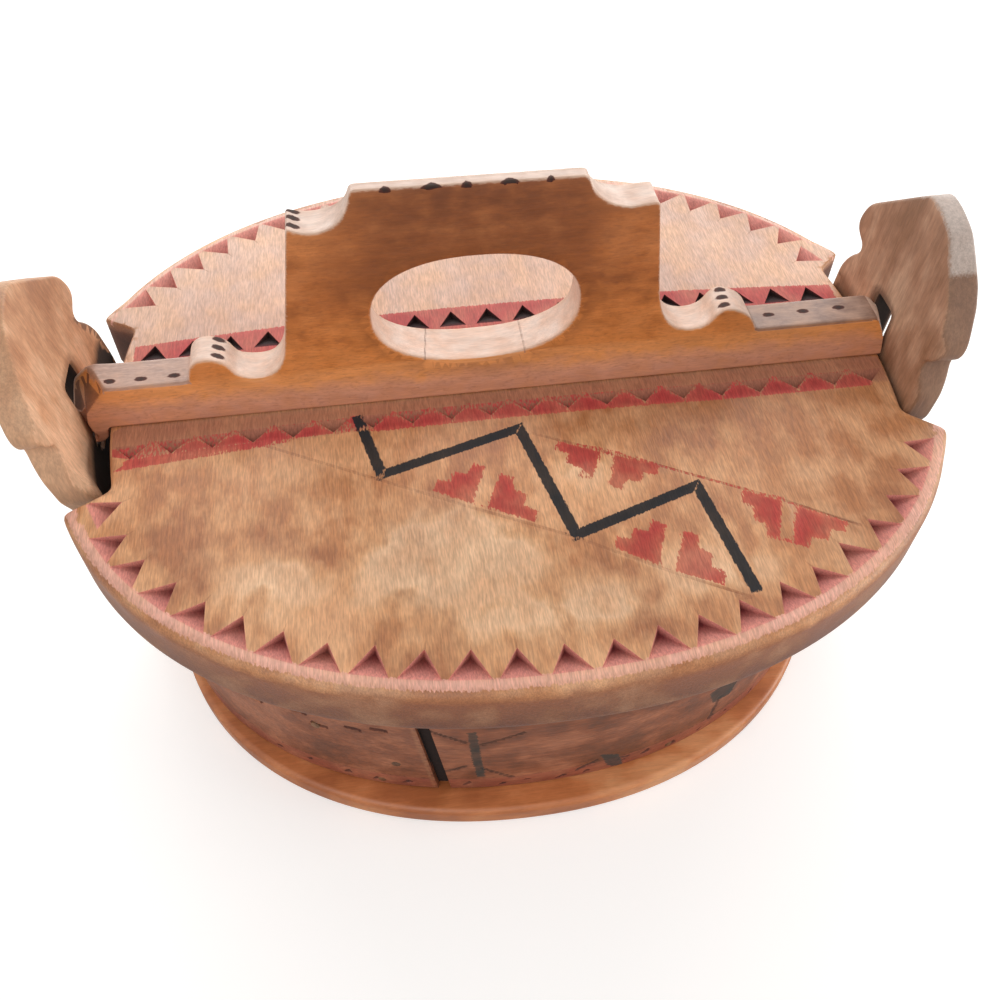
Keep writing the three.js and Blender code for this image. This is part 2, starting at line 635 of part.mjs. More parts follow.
function makeEar(side) {
  const tenonInner = [
    [side * TENON_X[0], EAR_FOOT_Z + 2],
    [side * TENON_X[0], GAP],
    [side * TENON_X[1], GAP],
    [side * TENON_X[1], EAR_FOOT_Z + 2],
  ];
  const kerf = [
    [side * (WEDGE_X - WEDGE_HALF_THICKNESS[0] - GAP), WEDGE_TOP + GAP],
    [side * (WEDGE_X - WEDGE_HALF_THICKNESS[1] - GAP), -1],
    [side * (WEDGE_X + WEDGE_HALF_THICKNESS[1] + GAP), -1],
    [side * (WEDGE_X + WEDGE_HALF_THICKNESS[0] + GAP), WEDGE_TOP + GAP],
  ];
  const shoulderRelief = [
    [side * (TENON_X[1] - 0.2), EAR_FOOT_Z],
    [side * (TENON_X[1] + 4), EAR_FOOT_Z + 1.4],
    [side * (TENON_X[1] + 4), EAR_FOOT_Z - 1],
    [side * (TENON_X[1] - 0.2), EAR_FOOT_Z - 1],
  ];
  const { from, scale } = EAR_LEFT_HEAD;
  const lower = (place) => {
    place[2] = side < 0 && place[2] > from ? from + (place[2] - from) * scale : place[2];
  };
  return toGeometry(
    pushed(earOutline(), 'x', Math.min(side * 90, side * 140), Math.max(side * 90, side * 140), 4)
      .warp(lower)
      .intersect(earSlab(side))
      .subtract(slotSolid(side))
      .subtract(pushed(shoulderRelief, 'y', -40, 40))
      .add(pushed(tenonInner, 'y', -TENON_HALF_WIDTH, TENON_HALF_WIDTH))
      .subtract(pushed(kerf, 'y', -TENON_HALF_WIDTH - 1, TENON_HALF_WIDTH + 1)),
  );
}

function makeWedge(side) {
  const outline = [
    [side * (WEDGE_X - WEDGE_HALF_THICKNESS[0]), WEDGE_TOP],
    [side * (WEDGE_X - WEDGE_HALF_THICKNESS[1]), GAP],
    [side * (WEDGE_X + WEDGE_HALF_THICKNESS[1]), GAP],
    [side * (WEDGE_X + WEDGE_HALF_THICKNESS[0]), WEDGE_TOP],
  ];
  return toGeometry(pushed(outline, 'y', -TENON_HALF_WIDTH, TENON_HALF_WIDTH));
}

function piece(name, geometry, wood) {
  const { color, roughness } = WOODS[wood];
  const mesh = new THREE.Mesh(geometry, new THREE.MeshStandardMaterial({ color, roughness, metalness: 0 }));
  mesh.name = name;
  return mesh;
}

const box = new THREE.Group();
box.add(piece('base_board', makeBase(), 'base'));
box.add(piece('side_wall', makeWall(), 'wall'));
lapSites.forEach((site, i) => {
  box.add(piece(`lap_peg_${i + 1}`, rod(along(site, -WALL_THICKNESS), along(site, 0.2), LAP_PEG_RADIUS), 'peg'));
});
footSites.forEach((site, i) => {
  box.add(piece(`foot_peg_${i + 1}`, rod(along(site, -FOOT_PEG_LENGTH), along(site, 0.1), FOOT_PEG_RADIUS), 'peg'));
});
for (const [side, word] of [[-1, 'left'], [1, 'right']]) {
  box.add(piece(`ear_${word}`, makeEar(side), 'ear'));
  box.add(piece(`ear_wedge_${word}`, makeWedge(side), 'peg'));
}

const lidGroup = new THREE.Group();
lidGroup.position.set(LID_OFFSET_X, 0, LID_TOP);
lidGroup.add(piece('lid_board', makeLid(), 'lid'));
lidGroup.add(piece('handle_rail', makeHandle(), 'handle'));
DOWEL_XS.forEach((x, i) => {
  lidGroup.add(piece(`rail_dowel_${i + 1}`, rod([x, 0, DOWEL_BOTTOM], [x, 0, DOWEL_TOP], DOWEL_RADIUS), 'peg'));
});
box.add(lidGroup);

export default box;
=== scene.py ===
"""Oval tine box of bent and carved wood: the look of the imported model.

Shapes are worked out in millimetres in the box's frame, and go into their meshes in metres. The frame's
origin is the middle of the base board's underside, with +X along the handle, -Y towards the lapped front and
+Z up. The lid and the handle are drawn in the lid's own frame, whose origin is the middle of its top surface.
"""
import logging
import math
from collections.abc import Callable
from dataclasses import dataclass, field, replace
from enum import Enum

import bmesh
import bpy
import numpy as np
from bpy.types import Material, Node, NodeSocket, World
from mathutils import Matrix, Vector
from mathutils.geometry import delaunay_2d_cdt


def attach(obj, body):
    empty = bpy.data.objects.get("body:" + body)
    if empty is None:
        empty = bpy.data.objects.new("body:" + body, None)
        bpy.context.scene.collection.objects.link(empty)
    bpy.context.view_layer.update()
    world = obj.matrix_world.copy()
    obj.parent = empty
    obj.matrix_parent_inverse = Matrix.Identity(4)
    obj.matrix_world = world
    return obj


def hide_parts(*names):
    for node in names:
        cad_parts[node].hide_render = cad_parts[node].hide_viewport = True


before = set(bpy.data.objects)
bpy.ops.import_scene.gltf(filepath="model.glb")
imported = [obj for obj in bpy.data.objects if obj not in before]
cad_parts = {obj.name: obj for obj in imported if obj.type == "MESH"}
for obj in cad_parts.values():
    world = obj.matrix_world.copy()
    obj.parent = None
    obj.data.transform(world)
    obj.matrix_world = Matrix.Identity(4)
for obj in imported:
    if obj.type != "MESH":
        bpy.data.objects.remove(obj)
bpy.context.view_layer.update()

log = logging.getLogger("tine_box")

Array = np.ndarray
Pair = tuple[float, float]
Stained = dict[str, Array]

MM = 0.001
SEED = 11
TURN = 2 * math.pi
LID_ORIGIN = np.array([2.6, 0.0, 100.0])

# How far a part that stands on another reaches into it, mm
SUNK = 1.0

# Points closer than this are one, mm, and edges that turn further than this stay sharp
WELD = 0.002
CRISP_DEGREES = 34.0

# A stain's value on a place that it doesn't reach, mm
OUTSIDE = -4.0


class Body(Enum):
    """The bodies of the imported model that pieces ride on."""

    BOX = "box"
    LID = "lid"
    EAR_LEFT = "ear_l"
    EAR_RIGHT = "ear_r"


class Slot(Enum):
    """The record's material slots."""

    BASE = "base_wood"
    WALL = "wall_wood"
    LID = "lid_wood"
    HANDLE = "handle_wood"
    EAR = "ear_wood"
    PEG = "peg_wood"


class Side(Enum):
    """Which part of a board a point is on."""

    FACE = "face"
    EDGE = "edge"
    BACK = "back"


# Flat geometry


def signed_power(value: Array, exponent: float) -> Array:
    """A value's size to a power, with the value's own sign."""
    return np.sign(value) * np.abs(value) ** exponent


def ring_angles(count: int) -> Array:
    """Even angles once round from 0, radians."""
    return np.linspace(0, TURN, count + 1)[:-1]


def oval(half: Pair, power: float, angles: Array, centre: Pair = (0.0, 0.0)) -> Array:
    """Points of a superellipse: x = a sign(cos t) |cos t|^(2/n) and y = b sign(sin t) |sin t|^(2/n).

    Args:
        half: Half length a and half width b, mm.
        power: The exponent n. 2 is an ellipse, and more is squarer.
        angles: The values of t, radians.
        centre: Where its middle lies, mm.

    Returns:
        One (x, y) row for each angle.
    """
    x = centre[0] + half[0] * signed_power(np.cos(angles), 2 / power)
    y = centre[1] + half[1] * signed_power(np.sin(angles), 2 / power)
    return np.stack([x, y], -1)


def oval_normals(half: Pair, power: float, points: Array) -> Array:
    """Unit normals of a superellipse: the gradient of |x/a|^n + |y/b|^n.

    Args:
        half: Half length and half width, mm.
        power: The superellipse's exponent.
        points: Points on it, as (x, y) rows.

    Returns:
        One unit (x, y) row for each point.
    """
    scale = np.array(half)
    slope = signed_power(points / scale, power - 1) / scale
    return slope / np.linalg.norm(slope, axis=-1, keepdims=True)


def oval_angle(half: Pair, power: float, x: float, y: float) -> float:
    """The angle t at which the superellipse passes the point (x, y)."""
    c, s = signed_power(x / half[0], power / 2), signed_power(y / half[1], power / 2)
    return math.atan2(s, c)


def walked_lengths(path: Array) -> Array:
    """How far along a path each of its points is."""
    return np.concatenate([[0.0], np.cumsum(np.linalg.norm(np.diff(path, axis=0), axis=1))])


def spread(path: Array, spacing: float) -> Array:
    """An open path walked at even steps, its two ends kept.

    Args:
        path: The path's points.
        spacing: The longest step, mm.

    Returns:
        Points at even distances along the path.
    """
    walked = walked_lengths(path)
    places = np.linspace(0, walked[-1], max(2, math.ceil(walked[-1] / spacing) + 1))
    return np.stack([np.interp(places, walked, path[:, i]) for i in range(path.shape[1])], 1)


def rectangle(low_x: float, high_x: float, low_y: float, high_y: float) -> Array:
    """A rectangle's corners from its low one up the left side and round, the first one repeated."""
    return np.array([(low_x, low_y), (low_x, high_y), (high_x, high_y), (high_x, low_y), (low_x, low_y)])


def join(parts: list[Array], spacing: float) -> Array:
    """A closed path from parts that follow each other, each walked at even steps."""
    return np.concatenate([spread(part, spacing)[:-1] for part in parts])


def trace(start: Pair, strokes: tuple[tuple[float, ...], ...], spacing: float = 1.0) -> Array:
    """A closed outline from strokes: two numbers are a line's end, four a quadratic curve's control and end.

    A curve's point at t is (1 - t)^2 start + 2 t (1 - t) control + t^2 end.

    Args:
        start: Where the first stroke starts, mm.
        strokes: The strokes in order.
        spacing: Distance between the outline's points, mm.

    Returns:
        The outline, walked counter-clockwise.
    """
    t = np.linspace(0, 1, 13)[:, None]
    here = np.array(start, float)
    parts = []
    for stroke in strokes:
        end = np.array(stroke[-2:], float)
        control = np.array(stroke[:2], float) if len(stroke) == 4 else (here + end) / 2
        parts.append((1 - t) ** 2 * here + 2 * t * (1 - t) * control + t**2 * end)
        here = end
    if np.linalg.norm(here - parts[0][0]) > 0.01:
        parts.append(np.stack([here, parts[0][0]]))
    path = join(parts, spacing)
    return path if signed_area(path) > 0 else path[::-1]


def signed_area(path: Array) -> float:
    """Area of a closed path, positive when it is walked counter-clockwise."""
    ahead = np.roll(path, -1, 0)
    return float((path[:, 0] * ahead[:, 1] - ahead[:, 0] * path[:, 1]).sum() / 2)


def soften(path: Array, passes: int) -> Array:
    """A closed path with its corners worn round: each point moves halfway to the mean of its neighbours."""
    for _ in range(passes):
        path = path / 2 + (np.roll(path, 1, 0) + np.roll(path, -1, 0)) / 4
    return path


def outward(path: Array) -> Array:
    """Mitred normals of a closed path: the mean of both edges' right-hand normals, longer at a turn.

    Args:
        path: An outline walked counter-clockwise, or a hole walked clockwise.

    Returns:
        One (x, y) row for each point, pointing out of the wood.
    """
    edge = np.roll(path, -1, 0) - path
    edge = edge / np.linalg.norm(edge, axis=1, keepdims=True)
    ahead = np.stack([edge[:, 1], -edge[:, 0]], 1)
    mean = ahead + np.roll(ahead, 1, 0)
    mean = mean / np.linalg.norm(mean, axis=1, keepdims=True)
    return mean / np.clip((mean * ahead).sum(1, keepdims=True), 0.7, 1)


def inside(points: Array, loop: Array) -> Array:
    """Whether each point lies in a closed loop: a ray towards +x crosses it an odd number of times."""
    a, b = loop, np.roll(loop, -1, 0)
    x, y = points[:, :1], points[:, 1:2]
    straddles = (a[:, 1] > y) != (b[:, 1] > y)
    rise = np.where(a[:, 1] == b[:, 1], 1e-9, b[:, 1] - a[:, 1])
    crossing = a[:, 0] + (y - a[:, 1]) * (b[:, 0] - a[:, 0]) / rise
    return (straddles & (x < crossing)).sum(1) % 2 == 1


def within(points: Array, loops: list[Array]) -> Array:
    """Whether each point lies in the first loop and in none of the others."""
    keep = inside(points, loops[0])
    for hole in loops[1:]:
        keep &= ~inside(points, hole)
    return keep


def reach(points: Array, path: Array, closed: bool = True) -> Array:
    """Least distance from each point to a path, mm: to each segment's nearest place, clamped to its ends."""
    a = path if closed else path[:-1]
    b = np.roll(path, -1, 0) if closed else path[1:]
    run = b - a
    ahead = ((points[:, None, :] - a) * run).sum(2) / np.maximum((run**2).sum(1), 1e-12)
    near = a + np.clip(ahead, 0, 1)[:, :, None] * run
    return np.linalg.norm(points[:, None, :] - near, axis=2).min(1)


def cover(points: Array, shapes: list[Array]) -> Array:
    """How far inside the nearest of some closed shapes each point lies, mm: negative outside them all."""
    deepest = np.full(len(points), OUTSIDE)
    for shape in shapes:
        low, high = shape.min(0) + OUTSIDE, shape.max(0) - OUTSIDE
        near = ((points > low) & (points < high)).all(1)
        if near.any():
            depth = reach(points[near], shape) * np.where(inside(points[near], shape), 1, -1)
            deepest[near] = np.maximum(deepest[near], depth)
    return deepest


def stroke_shape(path: Array, width: float) -> Array:
    """The closed outline of a line of one width: the path moved half a width to each side, mitred."""
    run = np.diff(path, axis=0)
    run = run / np.linalg.norm(run, axis=1, keepdims=True)
    before = np.concatenate([run[:1], run])
    after = np.concatenate([run, run[-1:]])
    mean = before + after
    mean = mean / np.linalg.norm(mean, axis=1, keepdims=True)
    side = np.stack([-mean[:, 1], mean[:, 0]], 1) / np.clip((mean * after).sum(1, keepdims=True), 0.5, 1)
    return np.concatenate([path - side * width / 2, (path + side * width / 2)[::-1]])


def triangulate(loops: list[Array], creases: list[Array], spacing: float) -> tuple[Array, Array]:
    """Fills a flat region with triangles on a staggered grid that also follow every crease.

    Args:
        loops: The outline, then any holes.
        creases: Lines of two points, and closed shapes of more, whose edges the triangles follow.
        spacing: Grid spacing, mm.

    Returns:
        The points, as (x, y) rows, and the triangles.
    """
    row_share, clear_share = 0.87, 0.4
    low, high = loops[0].min(0), loops[0].max(0)
    x, y = np.meshgrid(np.arange(low[0], high[0], spacing), np.arange(low[1], high[1], spacing * row_share))
    x[1::2] += spacing / 2
    grid = np.stack([x.ravel(), y.ravel()], 1)
    grid = grid[within(grid, loops)]
    for path in loops + creases:
        low, high = path.min(0) - spacing, path.max(0) + spacing
        near = ((grid > low) & (grid < high)).all(1)
        clear = np.ones(len(grid), bool)
        clear[near] = reach(grid[near], path, len(path) > 2) > clear_share * spacing
        grid = grid[clear]
    points, edges, start = [], [], 0
    for path in loops + creases:
        points.append(path)
        count = len(path)
        order = np.arange(count)
        links = np.stack([order, (order + 1) % count], 1) + start
        edges.append(links if count > 2 else links[:1])
        start += count
    points.append(grid)
    flat = [Vector(p) for p in np.concatenate(points).tolist()]
    result = delaunay_2d_cdt(flat, np.concatenate(edges).tolist(), [], 0, 1e-5)
    found = np.array([tuple(p) for p in result[0]])
    triangles = np.array(result[2])
    return found, triangles[within(found[triangles].mean(1), loops)]


# Meshes


class Shell:
    """One piece's closed surface, gathered patch by patch in millimetres."""

    def __init__(self, *stains: str) -> None:
        """Starts an empty shell.

        Args:
            stains: Names of the attributes that its material reads.
        """
        self.stains = stains
        self.points: list[Array] = []
        self.faces: list[list[int]] = []
        self.values: dict[str, list[Array]] = {name: [] for name in stains}
        self.count = 0

    def patch(self, points: Array, faces: Array, values: Stained | None = None) -> None:
        """Adds a patch.

        Args:
            points: (x, y, z) rows, mm.
            faces: Rows of corner numbers.
            values: Stain values for the points, mm. A stain that isn't given is far outside.
        """
        self.faces.extend((faces + self.count).tolist())
        self.points.append(points)
        self.count += len(points)
        for name in self.stains:
            given = (values or {}).get(name)
            self.values[name].append(np.full(len(points), OUTSIDE) if given is None else given)

    def grid(self, points: Array, wrap: bool = False, values: Stained | None = None) -> None:
        """Adds a grid of quads.

        Args:
            points: An array of rows by columns by 3, mm.
            wrap: Whether the last column joins the first.
            values: Stain values, rows by columns.
        """
        rows, columns = points.shape[:2]
        number = np.arange(rows * columns).reshape(rows, columns)
        right = np.roll(number, -1, 1) if wrap else number[:, 1:]
        left = number if wrap else number[:, :-1]
        quads = np.stack([left[:-1], right[:-1], right[1:], left[1:]], 2).reshape(-1, 4)
        flat = {name: value.ravel() for name, value in (values or {}).items()}
        self.patch(points.reshape(-1, 3), quads, flat)

    def piece(self, name: str, material: Material, body: Body, nodes: list[str]) -> None:
        """Welds the shell and makes its object, whose sharper edges stay sharp.

        Args:
            name: The object's name.
            material: Its finish.
            body: The body that it rides on.
            nodes: The CAD nodes that it stands for.
        """
        mesh = bpy.data.meshes.new(name)
        mesh.from_pydata((np.concatenate(self.points) * MM).tolist(), [], self.faces)
        for stain in self.stains:
            layer = mesh.attributes.new(stain, "FLOAT", "POINT")
            layer.data.foreach_set("value", np.concatenate(self.values[stain]).astype(np.float32))
        work = bmesh.new()
        work.from_mesh(mesh)
        bmesh.ops.remove_doubles(work, verts=work.verts, dist=WELD * MM)
        bmesh.ops.recalc_face_normals(work, faces=work.faces)
        open_edges = sum(1 for edge in work.edges if not edge.is_manifold)
        work.to_mesh(mesh)
        work.free()
        mesh.shade_smooth()
        mesh.set_sharp_from_angle(angle=math.radians(CRISP_DEGREES))
        mesh.materials.append(material)
        thing = bpy.data.objects.new(name, mesh)
        bpy.context.scene.collection.objects.link(thing)
        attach(thing, body.value)
        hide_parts(*nodes)
        triangles = sum(len(p.vertices) - 2 for p in mesh.polygons)
        log.info("%s: %d triangles, %d open edges", name, triangles, open_edges)


def level(height: float) -> Callable[[Array], Array]:
    """A flat face: one height, mm, at every flat point."""
    return lambda flat: np.full(len(flat), height)


def stacked(flat: Array, across: Array) -> Array:
    """Flat points at heights as (x, y, z) rows."""
    return np.column_stack([flat, across])


def on_lid(flat: Array, across: Array) -> Array:
    """As stacked, from the lid's own frame."""
    return stacked(flat, across) + LID_ORIGIN


def upright(flat: Array, across: Array) -> Array:
    """Points drawn as (x, z), at their y, as (x, y, z) rows."""
    return np.column_stack([flat[:, 0], across, flat[:, 1]])


def unstained(flat: Array, across: Array, side: Side) -> Stained:
    """No stain anywhere."""
    return {}


@dataclass
class Board:
    """A board cut to an outline, with both edges rounded and each face given by a function of the flat place.

    Attributes:
        loops: The outline counter-clockwise, then holes clockwise, mm.
        face: Where the face lies across the board at each flat point, mm.
        back: Where the back lies.
        edge_round: Radius along both edges, mm, or a function that gives it at each point of a loop.
        edge_rows: Rows of quads between the two roundings.
        spacing: Grid spacing on the face and on the back, mm.
        place: Turns flat points and distances across into (x, y, z) rows.
        stain: Gives the stain values for flat points, distances across and a side.
        face_creases: Lines that the face's triangles follow.
        back_creases: Lines that the back's triangles follow.
    """

    loops: list[Array]
    face: Callable[[Array], Array]
    back: Callable[[Array], Array]
    edge_round: float | Callable[[Array], Array]
    edge_rows: int
    spacing: Pair
    place: Callable[[Array, Array], Array] = stacked
    stain: Callable[[Array, Array, Side], Stained] = unstained
    face_creases: list[Array] = field(default_factory=list)
    back_creases: list[Array] = field(default_factory=list)

    def carve(self, shell: Shell) -> None:
        """Adds the face, the back and the edges to a shell.

        Along an edge the outline moves in by r (1 - sin t) as it sinks by r (1 - cos t), t from 0 to pi / 2.
        """
        inner = [loop - outward(loop) * self._radius(loop)[:, None] for loop in self.loops]
        for side, surface, creases, spacing in (
            (Side.FACE, self.face, self.face_creases, self.spacing[0]),
            (Side.BACK, self.back, self.back_creases, self.spacing[1]),
        ):
            flat, triangles = triangulate(inner, creases, spacing)
            across = surface(flat)
            shell.patch(self.place(flat, across), triangles, self.stain(flat, across, side))
        for loop in self.loops:
            self._edge(shell, loop)

    def _radius(self, loop: Array) -> Array:
        """The edges' radius at each point of a loop, mm."""
        return self.edge_round(loop) if callable(self.edge_round) else np.full(len(loop), self.edge_round)

    def _edge(self, shell: Shell, loop: Array) -> None:
        """Adds one loop's rounded edges and the strip between them."""
        turn = np.linspace(0, math.pi / 2, 6)
        radius = self._radius(loop)
        inset = radius * (1 - np.sin(turn))[:, None]
        sink = radius * (1 - np.cos(turn))[:, None]
        normals = outward(loop)
        towards = np.sign(self.back(loop) - self.face(loop))
        flats = [loop - normals * d[:, None] for d in inset]
        fronts = [self.face(flat) + towards * s for flat, s in zip(flats, sink)]
        backs = [self.back(flat) - towards * s for flat, s in zip(flats, sink)]
        shares = np.linspace(0, 1, self.edge_rows + 1)[1:-1]
        middles = [fronts[-1] * (1 - share) + backs[-1] * share for share in shares]
        rows = flats + [loop] * len(middles) + flats[::-1]
        heights = fronts + middles + backs[::-1]
        flat, across = np.concatenate(rows), np.concatenate(heights)
        size = (len(rows), len(loop))
        values = {name: v.reshape(size) for name, v in self.stain(flat, across, Side.EDGE).items()}
        shell.grid(self.place(flat, across).reshape(*size, 3), True, values)


# Finishes


def linear(code: str) -> tuple[float, float, float, float]:
    """An sRGB hex colour as linear RGBA: c / 12.92 below 0.04045, else ((c + 0.055) / 1.055)^2.4."""
    parts = [int(code[i : i + 2], 16) / 255 for i in (1, 3, 5)]
    red, green, blue = [c / 12.92 if c <= 0.04045 else ((c + 0.055) / 1.055) ** 2.4 for c in parts]
    return (red, green, blue, 1.0)


class Nodes:
    """The emptied node tree of a material or of the world, and the ways to add to it."""

    def __init__(self, owner: Material | World) -> None:
        """Empties the owner's tree.

        Args:
            owner: The material or the world.
        """
        owner.use_nodes = True
        self.tree = owner.node_tree
        self.tree.nodes.clear()

    def add(self, kind: str, inputs: dict[str | int, object] | None = None, **settings: object) -> Node:
        """Adds a node, sets it up and links it.

        Args:
            kind: The node's type name.
            inputs: Values or source sockets, by input name or number.
            settings: The node's own settings.

        Returns:
            The node.
        """
        node = self.tree.nodes.new(kind)
        for name, value in settings.items():
            setattr(node, name, value)
        for key, value in (inputs or {}).items():
            if isinstance(value, NodeSocket):
                self.tree.links.new(value, node.inputs[key])
            else:
                node.inputs[key].default_value = value
        return node

    def math(self, operation: str, a: object, b: object) -> NodeSocket:
        """One sum, product or maximum."""
        return self.add("ShaderNodeMath", {0: a, 1: b}, operation=operation).outputs[0]

    def span(self, value: NodeSocket, low: float, high: float, start: float, end: float) -> NodeSocket:
        """A value carried from low..high to start..end, clamped."""
        values = {"Value": value, "From Min": low, "From Max": high, "To Min": start, "To Max": end}
        return self.add("ShaderNodeMapRange", values).outputs[0]

    def mix(self, share: object, a: object, b: object, blend: str = "MIX") -> NodeSocket:
        """A colour from a to b by a share."""
        ends = {0: share, 6: a, 7: b}
        return self.add("ShaderNodeMix", ends, data_type="RGBA", blend_type=blend).outputs[2]


class Grain(Enum):
    """The way a board's grain runs: 1 on its own axis among (x, y, z), and 0 on the others."""

    ALONG_X = (1, 0, 0)
    ALONG_Y = (0, 1, 0)
    ALONG_Z = (0, 0, 1)


# How much blotches, patches and bands add to the wood's clouds, and where its two end colours lie
CLOUDS = (0.55, 0.28, 0.17)
CLOUD_RANGE = (0.42, 0.58)
MATT_ROUGHNESS = 0.95


@dataclass(frozen=True)
class Stain:
    """A colour laid where one of the piece's own attributes is positive.

    Attributes:
        attribute: The attribute: how far inside the stained shape a point is, mm.
        colour: The colour at the shape's edge.
        deep: The colour further in.
        depth: How far in the second colour is reached, mm.
        ragged: How far the fibres break up the shape's outline, mm.
        strength: How much of the wood it hides, from 0 to 1.
        patchy: How much of it has worn off in patches, from 0 to 1.
        fade: Half the width over which it fades out, mm. From 1 mm up, blotches break up its outline.
        matt: How much of the oil's gloss it takes away, from 0 to 1.
    """

    attribute: str
    colour: str
    deep: str
    depth: float = 1.0
    ragged: float = 0.2
    strength: float = 0.9
    patchy: float = 0.2
    fade: float = 0.1
    matt: float = 0.0

    def share(self, nodes: Nodes, edges: NodeSocket, patches: NodeSocket) -> tuple[NodeSocket, NodeSocket]:
        """How much of the stain shows, and how deep inside its shape the surface is."""
        reads = nodes.add("ShaderNodeAttribute", attribute_name=self.attribute, attribute_type="GEOMETRY")
        drift = nodes.span(edges if self.fade < 1 else patches, 0.3, 0.7, -self.ragged, self.ragged)
        depth = nodes.math("ADD", reads.outputs["Fac"], drift)
        inside_it = nodes.span(depth, -self.fade, self.fade, 0.0, 1.0)
        left = nodes.span(patches, 0.38, 0.66, self.strength, self.strength * (1 - self.patchy))
        return nodes.math("MULTIPLY", inside_it, left), depth


@dataclass(frozen=True)
class CarvedWood:
    """Knife-finished wood under old oil: streaked along the grain, blotched by handling, with open pores.

    Attributes:
        name: The material's name.
        dark: The colour of the darkest blotches.
        middle: The wood's main colour.
        pale: The colour of the palest patches.
        grain: The way the grain runs.
        streak: Width and length of the grain's streaks, mm.
        blotch: Size of the blotches, mm.
        streak_dark: How much darker a streak is, from 0 to 1.
        bristle: How much paler or darker the finest fibres are, from 0 to 1.
        roughness: Least and greatest roughness.
        relief: Height of the grain's ridges, mm.
        stains: The stains laid over the wood, in order.
    """

    name: str
    dark: str
    middle: str
    pale: str
    grain: Grain
    streak: Pair = (0.9, 14.0)
    blotch: float = 16.0
    streak_dark: float = 0.18
    bristle: float = 0.12
    roughness: Pair = (0.4, 0.6)
    relief: float = 0.1
    stains: tuple[Stain, ...] = ()

    def build(self) -> Material:
        """Makes the material.

        Returns:
            The material, which reads Object coordinates and the stains' attributes.
        """
        material = bpy.data.materials.new(self.name)
        nodes = Nodes(material)
        place = nodes.add("ShaderNodeTexCoord").outputs["Object"]
        width, length = self.streak

        def noise(across: float, along: float, detail: float = 3.0) -> NodeSocket:
            """Noise whose features measure these two distances, mm, the second with the grain."""
            scale = [1 / ((along if axis else across) * MM) for axis in self.grain.value]
            stretched = nodes.add("ShaderNodeMapping", {"Vector": place, "Scale": scale}).outputs[0]
            inputs = {"Vector": stretched, "Scale": 1.0, "Detail": detail}
            return nodes.add("ShaderNodeTexNoise", inputs).outputs["Fac"]

        streaks = noise(width, length)
        # Birch and pine fibres are about 0.03 mm wide, too fine to show, so they are drawn ten times coarser
        bristles = noise(0.32, 2.6, 1.0)
        bands = noise(width * 6, length * 3)
        blotches = noise(self.blotch, self.blotch * 1.3, 5.0)
        patches = noise(self.blotch / 3.2, self.blotch / 2.4, 4.0)
        edges = noise(0.5, 1.6, 2.0)
        parts = zip((blotches, patches, bands), CLOUDS)
        broad, fine, banded = [nodes.math("MULTIPLY", part, share) for part, share in parts]
        mixed = nodes.math("ADD", nodes.math("ADD", broad, fine), banded)
        shade = nodes.add("ShaderNodeValToRGB", {"Fac": mixed})
        first, last = shade.color_ramp.elements
        first.position, last.position = CLOUD_RANGE
        first.color, last.color = linear(self.dark), linear(self.pale)
        shade.color_ramp.elements.new(0.5).color = linear(self.middle)
        ground = shade.outputs["Color"]
        gloss = nodes.span(patches, 0.35, 0.65, *self.roughness)
        for stain in self.stains:
            share, depth = stain.share(nodes, edges, patches)
            further = nodes.span(depth, 0.1, stain.depth, 0.0, 1.0)
            tint = nodes.mix(further, linear(stain.colour), linear(stain.deep))
            ground = nodes.mix(share, ground, tint)
            if stain.matt > 0:
                inputs = {0: nodes.math("MULTIPLY", share, stain.matt), 2: gloss, 3: MATT_ROUGHNESS}
                gloss = nodes.add("ShaderNodeMix", inputs, data_type="FLOAT").outputs[0]
        streaked = nodes.span(streaks, 0.36, 0.64, 1 - self.streak_dark, 1 + self.streak_dark / 3)
        ground = nodes.mix(1.0, ground, streaked, "MULTIPLY")
        fibred = nodes.span(bristles, 0.34, 0.66, 1 - self.bristle, 1 + self.bristle)
        ground = nodes.mix(1.0, ground, fibred, "MULTIPLY")
        height = nodes.math("ADD", streaks, nodes.math("MULTIPLY", bristles, 0.7))
        ridges = {"Height": height, "Strength": 0.6, "Distance": self.relief * MM}
        bump = nodes.add("ShaderNodeBump", ridges).outputs[0]
        surface = {"Base Color": ground, "Roughness": gloss, "Normal": bump, "IOR": 1.5}
        shader = nodes.add("ShaderNodeBsdfPrincipled", surface)
        nodes.add("ShaderNodeOutputMaterial", {"Surface": shader.outputs[0]})
        return material


# Stains, each table in the order that they are laid

# The left ear: painted shade, near black, on its knee where it meets the lid, its cut edges and its slot
# darker, and painted shade inside the slot
EAR_STAINS = (
    Stain("slot", "#8a5c40", "#7c5038", ragged=0.4, strength=0.5, fade=0.8),
    # Painted shade, near black, on the inner face low down by the lid
    Stain(
        "grime", "#3a2418", "#120a07", depth=3.0, ragged=1.0, strength=0.95, patchy=0.0, fade=1.6, matt=0.9,
    ),
    Stain("edge", "#b98a66", "#b38460", strength=0.6),
    Stain("shade", "#7c5844", "#6a4a38", depth=4.0, ragged=0.6, strength=0.8, fade=1.2),
    # Painted shade inside the slot
    Stain("void", "#3a2418", "#20130c", ragged=0.1, strength=0.98, patchy=0.0, matt=1.0),
)

# The right ear: a pale bevel on its head as painted highlight, its slot darker, its cut edges darker as
# painted shade, and painted shade low on its inner face and inside the slot
SHADED_EAR_STAINS = (
    Stain("slot", "#5e4030", "#503426", ragged=0.4, strength=0.7, fade=0.8),
    # Painted shade, browner, on the inner face low down by the lid
    Stain("grime", "#8a5f46", "#7a523a", ragged=1.0, strength=0.8, patchy=0.2, fade=1.6),
    # Painted shade on the cut edges
    Stain("edge", "#85624a", "#7a5843", strength=0.85),
    # Painted highlight on the bevel at the head
    Stain("facet", "#c6b4a8", "#cdbcb1", ragged=0.3, strength=0.85, fade=0.5),
    # Painted shade inside the slot
    Stain("void", "#3a2418", "#20130c", ragged=0.1, strength=0.98, patchy=0.0, matt=1.0),
)
